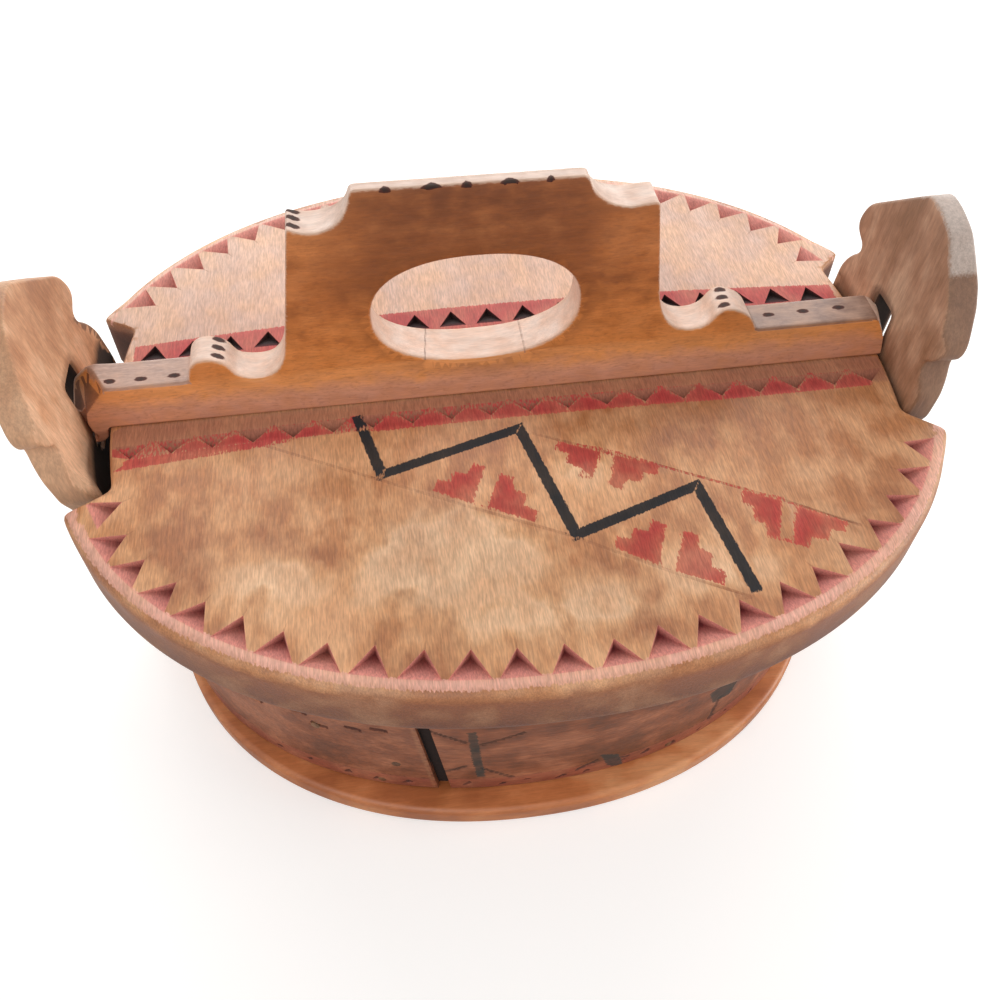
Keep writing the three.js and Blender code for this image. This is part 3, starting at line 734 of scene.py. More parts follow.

# The wall's front: a pink strip at its foot, knife cuts, painted marks, a pale strip along the lap's outer
# end that is partly painted highlight, and painted shade down the lap's joint
WALL_STAINS = (
    Stain("pink", "#a85a48", "#a05242", strength=0.6, patchy=0.6),
    Stain("twig", "#4a2e22", "#3a241c", ragged=0.3, strength=0.85, matt=0.8),
    Stain("ink", "#3a3a34", "#2f302c", ragged=0.4, strength=0.9, matt=0.9),
    Stain("nick", "#4a2016", "#1e0e0a", ragged=0.2, matt=0.8),
    # A pale strip along the lap's outer end: cut wood, partly painted highlight on its edge
    Stain("lip", "#a8704c", "#b07a58", strength=0.5, fade=0.3),
    # Painted shade at the bottom of the lap's joint
    Stain("gap", "#200c08", "#160805", ragged=0.0, strength=0.98, patchy=0.0, matt=1.0),
)

# The lid: worn and dusty oil under the red, dark and pale painting of the carving, with painted sheen over
# its back half, painted shade in the notches and deep in the rim and front chips, and a pink rim line that is
# partly painted highlight
LID_STAINS = (
    Stain("brown", "#b0713f", "#a0643e", depth=12.0, ragged=5.0, strength=0.65, patchy=0.3, fade=3.5),
    Stain("bright", "#f0bd8c", "#f8cfa6", depth=6.0, ragged=7.0, strength=0.85, patchy=0.6, fade=5.0),
    # Painted sheen: the back half paler, as if glossed by the lamp behind
    Stain("veil", "#dcb8a4", "#e2c2b0", depth=9.0, ragged=5.0, strength=0.6, patchy=0.4, fade=4.0, matt=0.3),
    Stain("side", "#905230", "#683620", depth=11.0, ragged=1.6, strength=0.94, patchy=0.3, fade=1.0),
    Stain("shade", "#6a3a28", "#2a1410", depth=6.0, ragged=0.8, strength=0.8, patchy=0.1, fade=2.0, matt=0.6),
    Stain("dust", "#b07a60", "#aa7058", depth=2.5, ragged=0.5, strength=0.85, patchy=0.2, fade=0.6, matt=0.5),
    Stain("line", "#8a5030", "#74401f", ragged=0.08, strength=0.7, patchy=0.5),
    # The front row's chips: dusty brown, darker the deeper they go as painted shade
    Stain("nick", "#a86a54", "#6a3428", depth=1.0, ragged=0.1, strength=0.9, matt=0.7),
    Stain("red", "#c24644", "#b43436", depth=1.4, ragged=0.35, strength=0.92, patchy=0.25, matt=0.5),
    Stain("motif", "#bd4638", "#ac2c2a", depth=1.4, ragged=0.5, strength=0.94, patchy=0.28, matt=0.6),
    Stain("ink", "#141b21", "#0e1419", ragged=0.2, strength=0.99, patchy=0.03, matt=0.95),
    # The back row's chips: near black, darkest at their deepest
    Stain("soot", "#4a1c20", "#140708", depth=0.7, ragged=0.05, strength=0.98, patchy=0.0, matt=1.0),
    # The pink line round the rim: pink paint, partly painted highlight where it rounds over the edge
    Stain("rim", "#e8aa94", "#f2b8a4", depth=1.0, ragged=0.35, strength=0.88, patchy=0.35),
    # The rim chips: red paint, pink at their edges and dark maroon deep inside as painted shade
    Stain("cut", "#dc8c80", "#7c2c30", depth=2.2, ragged=0.05, strength=0.96, patchy=0.1, matt=0.8),
)

# The handle: browner round its hand hole, dusty along its foot, pale along its cut edges as painted
# highlight, and painted shade on the facets at its ends
HANDLE_STAINS = (
    Stain("grip", "#854a26", "#703c20", depth=18.0, ragged=9.0, strength=0.8, patchy=0.3, fade=10.0),
    Stain("low", "#d88844", "#de9250", depth=20.0, ragged=8.0, strength=0.85, patchy=0.3, fade=10.0),
    Stain("dust", "#c48a70", "#b87c64", depth=4.0, ragged=1.6, strength=0.88, patchy=0.3, fade=1.8, matt=0.4),
    Stain("halo", "#7a4420", "#6a3818", depth=2.0, ragged=0.8, strength=0.5, patchy=0.5, fade=1.7),
    # Pale along the cut edges: painted highlight, for the light from behind on the faces that look up
    Stain("worn", "#d6b49c", "#e4c8b6", depth=1.6, ragged=0.1, strength=0.94, patchy=0.25, fade=0.16),
    Stain("tread", "#b08a78", "#74503f", depth=3.0, ragged=0.6, strength=0.85, patchy=0.4, fade=0.4),
    Stain("crack", "#8a6250", "#7a5444", ragged=0.05, strength=0.8),
    # Painted shade on the facets at the tongues' ends
    Stain("end", "#7a4a32", "#55301f", depth=3.0, ragged=0.2, strength=0.85, fade=0.3, matt=0.6),
    Stain("nick", "#4a1c14", "#1c0c0a", depth=0.6, ragged=0.1, strength=0.95, patchy=0.0, matt=0.9),
)


# Pieces


@dataclass(frozen=True)
class BaseBoard:
    """The oval board that everything stands on: a rounded rim, a lug under each ear and a raised middle."""

    half: Pair = (108.8, 91.7)
    power: float = 2.15
    thickness: float = 8.0
    edge_round: float = 2.0
    platform_half: Pair = (102.7, 79.7)
    platform_top: float = 14.0
    lug: tuple[Pair, ...] = ((100.0, 23.1), (115.0, 10.5), (119.0, 6.5))
    mortise_x: Pair = (108.1, 114.3)
    mortise_half: float = 7.3

    def outline(self) -> Array:
        """The oval with a lug at each end, counter-clockwise, its corners eased."""
        (near_x, near_y), (mid_x, mid_y), (tip_x, tip_y) = self.lug
        along = np.linspace(0, 1, 200)
        line_x, line_y = near_x + (mid_x - near_x) * along, near_y + (mid_y - near_y) * along
        past = (line_x / self.half[0]) ** self.power + (line_y / self.half[1]) ** self.power - 1
        first = oval_angle(self.half, self.power, np.interp(0, past, line_x), np.interp(0, past, line_y))
        arc = oval(self.half, self.power, np.linspace(first, math.pi - first, 400))
        end = np.array([(mid_x, mid_y), (tip_x, tip_y), (tip_x, -tip_y), (mid_x, -mid_y)])
        left = np.concatenate([arc[-1:], end * [-1, 1], arc[-1:] * [1, -1]])
        right = np.concatenate([arc[:1] * [1, -1], end[::-1], arc[:1]])
        return soften(join([arc, left, arc[::-1] * [1, -1], right], 1.5), 2)

    def mortise(self, side: int) -> Array:
        """The hole in a lug, clockwise."""
        low, high = (side * x for x in self.mortise_x)
        half = self.mortise_half
        path = join([rectangle(low, high, -half, half)], 1.0)
        return path if signed_area(path) < 0 else path[::-1]

    def build(self, finish: Material) -> None:
        """Makes the board with its raised middle."""
        shell = Shell()
        Board(
            loops=[self.outline()],
            face=level(self.thickness),
            back=level(0.0),
            edge_round=self.edge_round,
            edge_rows=3,
            spacing=(9.0, 9.0),
            face_creases=[self.mortise(-1), self.mortise(1)],
        ).carve(shell)
        Board(
            loops=[oval(self.platform_half, self.power, ring_angles(240))],
            face=level(self.platform_top),
            back=level(self.thickness - SUNK),
            edge_round=1.0,
            edge_rows=3,
            spacing=(9.0, 12.0),
        ).carve(shell)
        shell.piece("base_board_oiled", finish, Body.BOX, ["base_board"])


@dataclass(frozen=True)
class WallMarks:
    """What is cut and painted on the wall's front, in (x, z) as seen from the front, mm."""

    dashes: tuple[Pair, ...] = (
        (-91.7, 30.0), (-77.1, 38.5), (-64.2, 43.5), (-58.9, 38.8), (-49.4, 42.0), (-42.2, 43.8),
    )
    dash_width: float = 1.7
    wedge_spacing: float = 9.2
    spine: tuple[Pair, ...] = ((-16.9, 45.5), (-15.8, 30.0), (-14.6, 16.5))
    spine_width: float = 2.6
    leaf: tuple[Pair, ...] = ((20.8, 20.5), (27.0, 17.0), (29.6, 7.0), (24.0, 11.0))
    pane: tuple[Pair, ...] = ((54.0, 33.8), (65.6, 37.0), (63.0, 24.0), (56.5, 25.5))
    twigs: tuple[tuple[Pair, Pair], ...] = (
        ((-28.9, 46.5), (-18.1, 38.6)), ((-15.3, 37.1), (-1.8, 43.3)), ((-26.5, 19.4), (-18.3, 24.2)),
        ((-14.9, 22.6), (-4.5, 13.7)), ((20.8, 17.0), (13.7, 12.6)), ((27.0, 14.0), (31.0, 13.4)),
        ((59.0, 27.0), (57.4, 13.5)),
    )
    twig_width: float = 1.3
    strip_z: Pair = (8.0, 15.2)
    strip_half: float = 95.0
    border_z: float = 15.6
    border_width: float = 0.5
    cut_depths: Pair = (1.1, 0.35)

    def values(self, places: Array, front: Array) -> Stained:
        """How far inside each kind of mark every place is, mm."""
        chance = np.random.default_rng(SEED)
        ends = np.array([(-2.4, 0.5), (2.6, -0.4)])
        cuts = [stroke_shape(ends + dash, self.dash_width) for dash in self.dashes]
        for i in range(-8, 10):
            x = i * self.wedge_spacing + chance.uniform(-1.2, 1.2)
            low, half, tall = chance.uniform(9.4, 11.5), chance.uniform(1.3, 2.4), chance.uniform(1.8, 3.4)
            cuts.append(np.array([(x - half, low), (x + half, low + 0.6), (x + 0.6, low + tall)]))
        twigs = [stroke_shape(np.array(line), self.twig_width) for line in self.twigs]
        border = np.array([(-self.strip_half, self.border_z), (self.strip_half, self.border_z)])
        spine = stroke_shape(np.array(self.spine), self.spine_width)
        shapes = {
            "nick": cuts,
            "ink": [spine, np.array(self.leaf), np.array(self.pane)],
            "twig": twigs + [stroke_shape(border, self.border_width)],
            "pink": [rectangle(-self.strip_half, self.strip_half, *self.strip_z)[:-1]],
        }
        found = {}
        for name, outlines in shapes.items():
            found[name] = np.full(len(places), OUTSIDE)
            found[name][front] = cover(places[front], outlines)
        return found

    def depth(self, values: Stained) -> Array:
        """How deep the knife went at each place, mm."""
        nick_depth, twig_depth = self.cut_depths
        nick = np.clip(values["nick"] * nick_depth, 0, nick_depth)
        return np.maximum(nick, np.clip(values["twig"], 0, twig_depth))


@dataclass(frozen=True)
class BentWall:
    """The strip bent round into an oval, its thin outer end lapped over its thin inner one."""

    half: Pair = (107.0, 84.0)
    power: float = 2.15
    thickness: float = 4.0
    foot: float = 8.3
    top: float = 82.7
    lap_gap: float = 0.3
    lap_end_x: float = -74.0
    joint_x: float = -27.4
    joint_lean: float = -0.12
    joint_width: float = 3.7
    edge_round: float = 0.8
    gap_reach: float = 12.0
    lip: Pair = (0.6, 0.9)
    outer_rows: int = 82
    inner_rows: int = 7

    def front_angle(self, x: float) -> float:
        """The angle on the oval's front half at an x, between -180 and 0 degrees."""
        return -math.acos(signed_power(x / self.half[0], self.power / 2))

    def joint_angles(self, shift: float) -> Array:
        """The joint's angles at the wall's foot and top, moved along by some millimetres."""
        foot_x = self.joint_x + shift
        top_x = foot_x + self.joint_lean * (self.top - self.foot)
        return np.array([self.front_angle(foot_x), self.front_angle(top_x)])

    def columns(self) -> Array:
        """The strip's columns, as rows of foot angle, top angle, inner offset and outer offset."""
        sliver, past_end = 0.002, 0.05
        inner_end = np.full(2, self.front_angle(self.lap_end_x))
        shoulder = self.joint_angles(self.joint_width)
        outer_end = self.joint_angles(0.0) + TURN
        lap = inner_end + TURN
        right, left = np.full(2, past_end), np.full(2, math.pi - past_end)
        middle = self.thickness / 2
        runs = [
            (inner_end, shoulder, 30, 0.0, middle - self.lap_gap / 2),
            (shoulder + sliver, right, 170, 0.0, self.thickness),
            (right, left, 110, 0.0, self.thickness),
            (left, lap - sliver, 56, 0.0, self.thickness),
            (lap, outer_end, 64, middle + self.lap_gap / 2, self.thickness),
        ]
        parts = []
        for start, end, steps, inner, outer in runs:
            angles = start + (end - start) * np.linspace(0, 1, steps + 1)[:, None]
            parts.append(np.column_stack([angles, np.full((steps + 1, 2), (inner, outer))]))
        return np.concatenate(parts)

    def profile(self) -> tuple[Array, Array]:
        """The strip's cross-section, clockwise from its inner foot: shares of its thickness and heights."""
        turn = np.linspace(0, math.pi / 2, 4)
        inset = self.edge_round / self.thickness * (1 - np.sin(turn))
        rise = self.edge_round * (1 - np.cos(turn))
        low, high = self.foot + self.edge_round, self.top - self.edge_round
        runs = [
            ([0.5], [self.foot]),
            (1 - inset, self.foot + rise),
            (np.ones(self.outer_rows), np.linspace(low, high, self.outer_rows + 2)[1:-1]),
            (1 - inset[::-1], self.top - rise[::-1]),
            ([0.5], [self.top]),
            (inset, self.top - rise),
            (np.zeros(self.inner_rows), np.linspace(high, low, self.inner_rows + 2)[1:-1]),
            (inset[::-1], self.foot + rise[::-1]),
        ]
        return np.concatenate([share for share, _ in runs]), np.concatenate([z for _, z in runs])

    def build(self, finish: Material, marks: WallMarks) -> None:
        """Makes the strip with the marks cut into its outside."""
        shell = Shell(*(stain.attribute for stain in WALL_STAINS))
        columns = self.columns()
        shares, heights = self.profile()
        climb = (heights - self.foot) / (self.top - self.foot)
        angles = columns[:, :1].T * (1 - climb[:, None]) + columns[:, 1:2].T * climb[:, None]
        offsets = columns[:, 2] + (columns[:, 3] - columns[:, 2]) * shares[:, None]
        inwards = offsets - self.thickness
        flat = oval((self.half[0] + inwards, self.half[1] + inwards), self.power, angles)
        x, y = flat[..., 0], flat[..., 1]
        z = np.broadcast_to(heights[:, None], x.shape)
        outside = offsets > self.thickness - 0.01
        front = ((y < 0) & outside).ravel()
        values = marks.values(np.stack([x, z], 2).reshape(-1, 2), front)
        end = self.joint_x + self.joint_lean * (z - self.foot)
        # Painted shade in the lap's joint: the inner layer's cut face behind it
        cut_face = (offsets > 0.3 * self.thickness) & ~outside & (z < self.top - 1.5)
        behind = cut_face & (y < 0) & (np.abs(x - end - self.joint_width) < self.gap_reach)
        values["gap"] = np.where(behind, 3.0, OUTSIDE).ravel()
        # The pale strip along the outer end, partly painted highlight
        back, half = self.lip
        values["lip"] = np.where(front, half - np.abs(end - back - x).ravel(), OUTSIDE)
        sunk = marks.depth(values).reshape(x.shape)
        points = np.dstack([flat - oval_normals(self.half, self.power, flat) * sunk[..., None], z])
        closed = np.concatenate([points, points[:1]])
        values = {name: value.reshape(x.shape) for name, value in values.items()}
        values = {name: np.concatenate([value, value[:1]]) for name, value in values.items()}
        shell.grid(closed, False, values)
        for column in (0, -1):
            ring = points[:, column]
            shell.patch(ring, np.array([np.arange(len(ring))]))
        shell.piece("side_wall_bent", finish, Body.BOX, ["side_wall"])


@dataclass(frozen=True)
class WhittledPeg:
    """A peg driven through the wall: a shaved shank and a worn, slightly domed head."""

    radius: float
    length: float
    proud: float
    flats: int = 9

    def build(self, node: str, wall: BentWall, angle: float, z: float, finish: Material) -> None:
        """Makes the peg along the wall's normal.

        Its radius is r (1 - 0.05 |sin(k t / 2)|) for k flats, drawn in at both ends.
        """
        head = oval(wall.half, wall.power, np.array([angle]))
        out = np.array([*oval_normals(wall.half, wall.power, head)[0], 0.0])
        side = np.array([-out[1], out[0], 0.0])
        up = np.array([0.0, 0.0, 1.0])
        tip, proud = -self.length, self.proud
        along = np.array([tip, tip, tip + 0.4, -0.5, proud - 0.2, proud, proud])
        width = np.array([0.0, 0.8, 1.0, 1.0, 0.97, 0.7, 0.0])
        turn = ring_angles(36)
        radius = self.radius * (1 - 0.05 * np.abs(np.sin(turn * self.flats / 2)))
        ring = side * (np.cos(turn) * radius)[:, None] + up * (np.sin(turn) * radius)[:, None]
        middle = np.array([*head[0], z]) + out * along[:, None]
        shell = Shell()
        shell.grid(middle[:, None, :] + ring * width[:, None, None], True)
        shell.piece(f"{node}_whittled", finish, Body.BOX, [node])


@dataclass(frozen=True)
class LidBoard:
    """The oval lid: notched at both ends for the ears, chip carved round the rim and painted.

    Everything is in the lid's own frame, mm.
    """

    half: Pair = (121.5, 100.2)
    centre: Pair = (-1.0, -2.6)
    power: float = 2.17
    thickness: float = 17.0
    edge_round: float = 3.2
    notch_round: float = 0.8
    plug_half: Pair = (102.0, 79.0)
    plug_power: float = 2.15
    plug_depth: float = 4.0
    notch_half: float = 31.2
    notch_left: tuple[float, float, float] = (-107.9, -104.9, 0.58)
    notch_right: tuple[float, float, float] = (107.2, 104.6, 0.85)
    chip_oval: Pair = (118.2, 95.8)
    chip_count: int = 61
    chip_front_x: float = 1.7
    chip_reach: float = 7.6
    chip_half: float = 4.9
    chip_uneven: Pair = (0.92, 1.06)
    chip_clear: float = 0.15
    depths: tuple[float, float, float] = (3.0, 1.2, 2.2)
    side_slope: float = 6.0
    front_row: tuple[float, float, int] = (-101.2, 100.9, 20)
    front_chip: Pair = (4.5, 4.8)
    back_row: tuple[float, float, int] = (-98.3, 96.6, 19)
    back_chip: Pair = (3.9, 6.6)
    stepped_share: tuple[Pair, ...] = (
        (0, 0), (1, 0), (1, 0.3), (0.7, 0.36), (0.66, 0.64), (0.36, 0.7), (0.3, 1), (0, 1),
    )
    motif_corners: tuple[tuple[Pair, Pair, Pair], ...] = (
        ((-14.3, -48.1), (-23.6, -42.5), (-9.6, -36.4)),
        ((-10.7, -49.6), (0.2, -55.9), (-5.9, -39.0)),
        ((21.8, -33.9), (10.9, -29.8), (17.2, -44.0)),
        ((24.9, -35.4), (35.0, -41.4), (21.0, -46.8)),
        ((27.5, -73.0), (18.0, -66.4), (32.0, -61.0)),
        ((30.8, -74.9), (41.0, -80.4), (36.0, -63.4)),
        ((63.0, -56.3), (54.0, -52.6), (58.2, -69.2)),
        ((65.8, -59.4), (76.4, -65.6), (60.9, -70.6)),
    )
    zigzag: tuple[Pair, ...] = (
        (-41.5, -13.4), (-36.2, -35.4), (1.3, -23.8), (9.7, -61.2), (42.9, -49.6), (48.3, -83.2),
    )
    zigzag_width: float = 3.0
    low_line: tuple[Pair, ...] = ((-68.5, -19.8), (-15.2, -48.9), (8.3, -61.2), (30.3, -75.2), (46.7, -84.5))
    high_line: tuple[Pair, ...] = ((4.2, -26.0), (34.0, -41.2), (63.0, -57.2), (79.4, -67.6))
    line_width: float = 0.8
    line_depth: float = 0.3
    overrun: Pair = (2.3, 0.25)
    rim_inset: float = 0.3
    rim_widths: Pair = (2.5, 1.0)
    rim_drops: Pair = (1.6, 1.7)
    notch_shade: tuple[float, float, float] = (101.0, 9.0, 0.6)
    dust_back_y: float = -9.0
    handled_y: Pair = (-8.0, -33.0)
    handled_corner: Pair = (58.0, -12.0)
    painted_sheen_y: float = 16.0
    left_strip: tuple[Pair, ...] = (
        (-107.0, -25.4), (-80.0, -22.8), (-60.0, -20.6), (-60.0, -19.2), (-80.0, -19.7), (-101.0, -21.4),
        (-103.4, -17.4), (-107.0, -17.0),
    )
    worn_spots: tuple[tuple[float, float, float, float], ...] = (
        (-64.0, -66.0, 13.0, 10.0), (-22.0, -64.0, 26.0, 17.0), (2.0, -83.0, 28.0, 9.0),
        (40.0, -77.0, 14.0, 7.0), (14.0, -38.0, 10.0, 9.0),
    )

    def notch(self, middle: float, corner: float, splay: float) -> tuple[Array, list[float]]:
        """One notch from its corner on the rim at +y round to the one at -y, and both corners' angles."""
        meets, angles = [], []
        out = np.linspace(0, self.half[0] - abs(corner) + abs(self.centre[0]), 400)
        for side in (1, -1):
            x = corner + math.copysign(1, middle) * out
            y = side * (self.notch_half + splay * out)
            away = np.stack([x, y], 1) - self.centre
            past = (np.abs(away / self.half) ** self.power).sum(1) - 1
            meets.append([np.interp(0, past, x), np.interp(0, past, y)])
            end_x, end_y = (np.interp(0, past, part) for part in away.T)
            angles.append(oval_angle(self.half, self.power, end_x, end_y))
        across = np.linspace(1, -1, 25)
        hollow = np.column_stack([middle + (corner - middle) * across**2, across * self.notch_half])
        return np.concatenate([meets[:1], hollow, meets[1:]]), angles

    def outline(self) -> Array:
        """The lid's outline, counter-clockwise."""
        right, (right_far, right_near) = self.notch(*self.notch_right)
        left, (left_far, left_near) = self.notch(*self.notch_left)
        far = oval(self.half, self.power, np.linspace(right_far, left_far, 500), self.centre)
        near = oval(self.half, self.power, np.linspace(left_near, right_near, 500), self.centre)
        return soften(join([far, left, near, right[::-1]], 1.4), 2)

    def radius(self, loop: Array) -> Array:
        """The edge's radius along the outline: full on the rim, and crisp round the notches."""
        cuts = [self.notch(*shape)[0] for shape in (self.notch_left, self.notch_right)]
        away = np.min([reach(loop, cut, False) for cut in cuts], 0)
        return np.interp(away, [0, 10], [self.notch_round, self.edge_round])

    def rim_chips(self) -> list[Array]:
        """The triangles round the rim, each as inner tip and two outer corners, cut a little unevenly."""
        chance = np.random.default_rng(SEED)
        angles = -math.pi / 2 + np.linspace(0, TURN, 2881)
        walked = walked_lengths(oval(self.chip_oval, self.power, angles, self.centre))
        first = self.chip_front_x - self.centre[0]
        places = np.interp(first + np.arange(self.chip_count) * walked[-1] / self.chip_count, walked, angles)
        rims = oval(self.chip_oval, self.power, places, self.centre)
        rims = rims[np.abs(rims[:, 1]) > self.notch_half + 6]
        out = oval_normals(self.chip_oval, self.power, rims - self.centre)
        across = np.stack([-out[:, 1], out[:, 0]], 1)
        size = (len(rims), 1)
        ends = [rims + across * side * self.chip_half for side in (-1.1, 1.1)]
        room = np.min([reach(end, self.outline()) for end in ends], 0)
        rims = rims - out * np.maximum(0, self.edge_round + self.chip_clear - room)[:, None]
        lean = chance.uniform(-0.6, 0.6, size)
        low = rims - across * self.chip_half * chance.uniform(*self.chip_uneven, size)
        high = rims + across * self.chip_half * chance.uniform(*self.chip_uneven, size)
        tips = rims - out * self.chip_reach * chance.uniform(0.88, 1.08, size) + across * lean
        return list(np.stack([tips, low, high], 1))

    def beyond_chips(self, flat: Array) -> Array:
        """How far outside the oval of the chips' bases each flat point is, mm."""
        away = flat - self.centre
        share = (np.abs(away / self.chip_oval) ** self.power).sum(1) ** (1 / self.power)
        return np.linalg.norm(away, axis=1) * (1 - 1 / np.maximum(share, 0.01))

    def front_chips(self) -> list[Array]:
        """The row of triangles in front of the handle, their tips towards the front."""
        x = np.linspace(*self.front_row)
        half, tall = self.front_chip
        shape = np.array([(0, 0), (half, tall), (-half, tall)])
        return [shape + tip for tip in zip(x, self.tip_line(x))]

    def tip_line(self, x: Array) -> Array:
        """The y of the front row's tips at each x."""
        return -18.0 - 3.2 * np.abs(np.minimum(x, 60) / 101) ** 2

    def back_chips(self) -> list[Array]:
        """The row of triangles behind the handle, their tips towards the back."""
        x = np.linspace(*self.back_row)
        half, tall = self.back_chip
        shape = np.array([(0, 0), (-half, -tall), (half, -tall)])
        return [shape + tip for tip in zip(x, 26.6 - 3.6 * (x / 98) ** 2)]

    def red_shapes(self) -> list[Array]:
        """The red domes between the front chips, and the strips at their left end and behind the handle."""
        chips = self.front_chips()
        shapes = []
        for left, right in zip(chips[:-1], chips[1:]):
            top = (left[1] + right[2]) / 2 + (0, 0.5)
            foot = 1.5 if left[0, 0] > -40 else 0.4
            near_half = [left[0] + (0.1, -foot), right[0] + (-0.1, -foot), right[0] + (-0.1, 0.3)]
            sides = [right[2] + (0.5, -1.4), top + (0.6, 0), top - (0.6, 0), left[1] + (-0.5, -1.4)]
            shapes.append(np.array([*near_half, *sides, left[0] + (0.1, 0.3)]))
        x = np.linspace(-104, 104, 40)
        far = 28.4 - 4.6 * (x / 98) ** 2
        strip = np.concatenate([np.stack([x, np.full(40, 13.5)], 1), np.stack([x, far], 1)[::-1]])
        return [*shapes, np.array(self.left_strip), strip]

    def stepped(self, foot: Pair, end: Pair, tip: Pair) -> Array:
        """A triangle whose long side climbs in three steps from its end to its tip.

        Args:
            foot: The square corner.
            end: The far corner of its base.
            tip: Its highest point, above the foot.

        Returns:
            The closed shape.
        """
        corner, base, rise = np.array(foot), np.array(end) - foot, np.array(tip) - foot
        steps = np.array(self.stepped_share)
        return corner + steps[:, :1] * base + steps[:, 1:] * rise

    def worn_patches(self) -> list[Array]:
        """The patches on the front where the oil has worn away and the wood is pale."""
        turn = ring_angles(32)
        return [oval((a, b), 2.0, turn, (x, y)) for x, y, a, b in self.worn_spots]

    def lines(self) -> list[Array]:
        """The thin cut lines that the motifs stand on, and the knife's overrun at each rim chip."""
        shapes = [stroke_shape(np.array(line), self.line_width) for line in (self.low_line, self.high_line)]
        for chip in self.rim_chips():
            tip, middle = chip[0], chip[1:].mean(0)
            inward = (tip - middle) / np.linalg.norm(tip - middle)
            side = np.array([-inward[1], inward[0]])
            length, half = self.overrun
            shapes.append(np.array([tip + side * half, tip + inward * length, tip - side * half]))
        return shapes

    def sunk(self, flat: Array, chips: list[Array], depth: float) -> Array:
        """How deep the chips go at each flat point, mm.

        A chip has two steep sides that meet at its tip, and a floor that falls from its base towards the tip.
        The depth is the least of the three distances from its edges, each times its own slope.
        """
        deepest = np.zeros(len(flat))
        for tip, low, high in chips:
            near = (np.abs(flat - (tip + low + high) / 3) < 8).all(1)
            if not near.any():
                continue
            spot = flat[near]
            fall, steep = depth / np.linalg.norm(tip - (low + high) / 2), self.side_slope
            cuts = ((tip, low, high, steep), (tip, high, low, steep), (low, high, tip, fall))
            planes = []
            for a, b, other, slope in cuts:
                run = (b - a) / np.linalg.norm(b - a)
                normal = np.array([-run[1], run[0]])
                normal = normal * np.sign((other - a) @ normal)
                planes.append(((spot - a) @ normal) * slope)
            deepest[near] = np.maximum(deepest[near], np.min(planes, 0))
        return deepest

    def deep_point(self, chip: Array, depth: float) -> Array:
        """The chip's deepest point, where its two sides meet the floor."""
        tip, low, high = chip
        base = (low + high) / 2
        length = np.linalg.norm(tip - base)
        half_angle = math.atan(np.linalg.norm(high - low) / 2 / length)
        back = depth / (self.side_slope * math.sin(half_angle) + depth / length)
        return tip + (base - tip) / length * back

    def build(self, finish: Material) -> None:
        """Makes the lid."""
        shell = Shell(*(stain.attribute for stain in LID_STAINS))
        kinds = {"cut": self.rim_chips(), "nick": self.front_chips(), "soot": self.back_chips()}
        depths = dict(zip(kinds, self.depths))
        drawn = {
            "red": self.red_shapes(),
            "motif": [self.stepped(*corners) for corners in self.motif_corners],
            "ink": [stroke_shape(np.array(self.zigzag), self.zigzag_width)],
            "line": self.lines(),
            "bright": self.worn_patches(),
        }
        creases = [c for chips in kinds.values() for c in chips]
        creases += [c for name in ("red", "motif", "ink", "line") for c in drawn[name]]
        for name, chips in kinds.items():
            for chip in chips:
                deep = self.deep_point(chip, depths[name])
                creases.extend([np.stack([deep, corner]) for corner in chip])

        def top(flat: Array) -> Array:
            """The top surface: chips and cut lines below z = 0."""
            depth = np.max([self.sunk(flat, kinds[name], depths[name]) for name in kinds], 0)
            return -np.maximum(depth, np.clip(cover(flat, drawn["line"]), 0, self.line_depth))

        def stain(flat: Array, across: Array, side: Side) -> Stained:
            """Stain values of the top, and the pink line round the rim, partly painted highlight."""
            if side is Side.BACK:
                return {}
            x, y = flat[:, 0], flat[:, 1]
            out = self.beyond_chips(flat)
            # The pink line round the rim, partly painted highlight along the rounded edge
            rim = np.minimum(out + self.rim_inset, np.where(y < 20, *self.rim_widths) - out)
            if side is Side.EDGE:
                line_drop, side_drop = self.rim_drops
                shade_x, shade_reach, shade_drop = self.notch_shade
                by_notch = np.minimum(np.abs(x) - shade_x, self.notch_half + shade_reach - np.abs(y))
                return {
                    "rim": np.minimum(rim, across + line_drop),
                    "side": -side_drop - across,
                    "shade": np.minimum(by_notch, -shade_drop - across),
                }
            found = {name: cover(flat, shapes) for name, shapes in drawn.items()}
            # The chips' stains follow their depth, so the rim and front chips darken deep inside as painted
            # shade
            for name, chips in kinds.items():
                depth = self.sunk(flat, chips, depths[name])
                found[name] = np.where(depth > 0, depth, np.minimum(cover(flat, chips), 0))
            # The back half's chips stop short of the painted shade's dark maroon
            found["cut"] = np.where(y > 0, np.minimum(found["cut"], 0.5 + 0.3 * found["cut"]), found["cut"])
            found["rim"] = rim
            found["dust"] = np.minimum(self.dust_back_y - y, y + 0.4 - self.tip_line(x))
            far_y, near_y = self.handled_y
            band = np.minimum(far_y - y, y - near_y - 0.22 * np.abs(x - 20))
            corner_x, corner_y = self.handled_corner
            found["brown"] = np.maximum(band, np.minimum(x - corner_x, corner_y - y) / 2)
            # Painted sheen over the back half
            found["veil"] = y - self.painted_sheen_y
            return found

        Board(
            loops=[self.outline()],
            face=top,
            back=level(-self.thickness),
            place=on_lid,
            stain=stain,
            edge_round=self.radius,
            edge_rows=9,
            spacing=(2.6, 9.0),
            face_creases=creases,
        ).carve(shell)
        Board(
            loops=[oval(self.plug_half, self.plug_power, ring_angles(240), (-LID_ORIGIN[0], 0.0))],
            face=level(-self.thickness - self.plug_depth),
            back=level(-self.thickness + SUNK),
            place=on_lid,
            edge_round=1.0,
            edge_rows=2,
            spacing=(9.0, 12.0),
        ).carve(shell)
        shell.piece("lid_board_carved", finish, Body.LID, ["lid_board"])


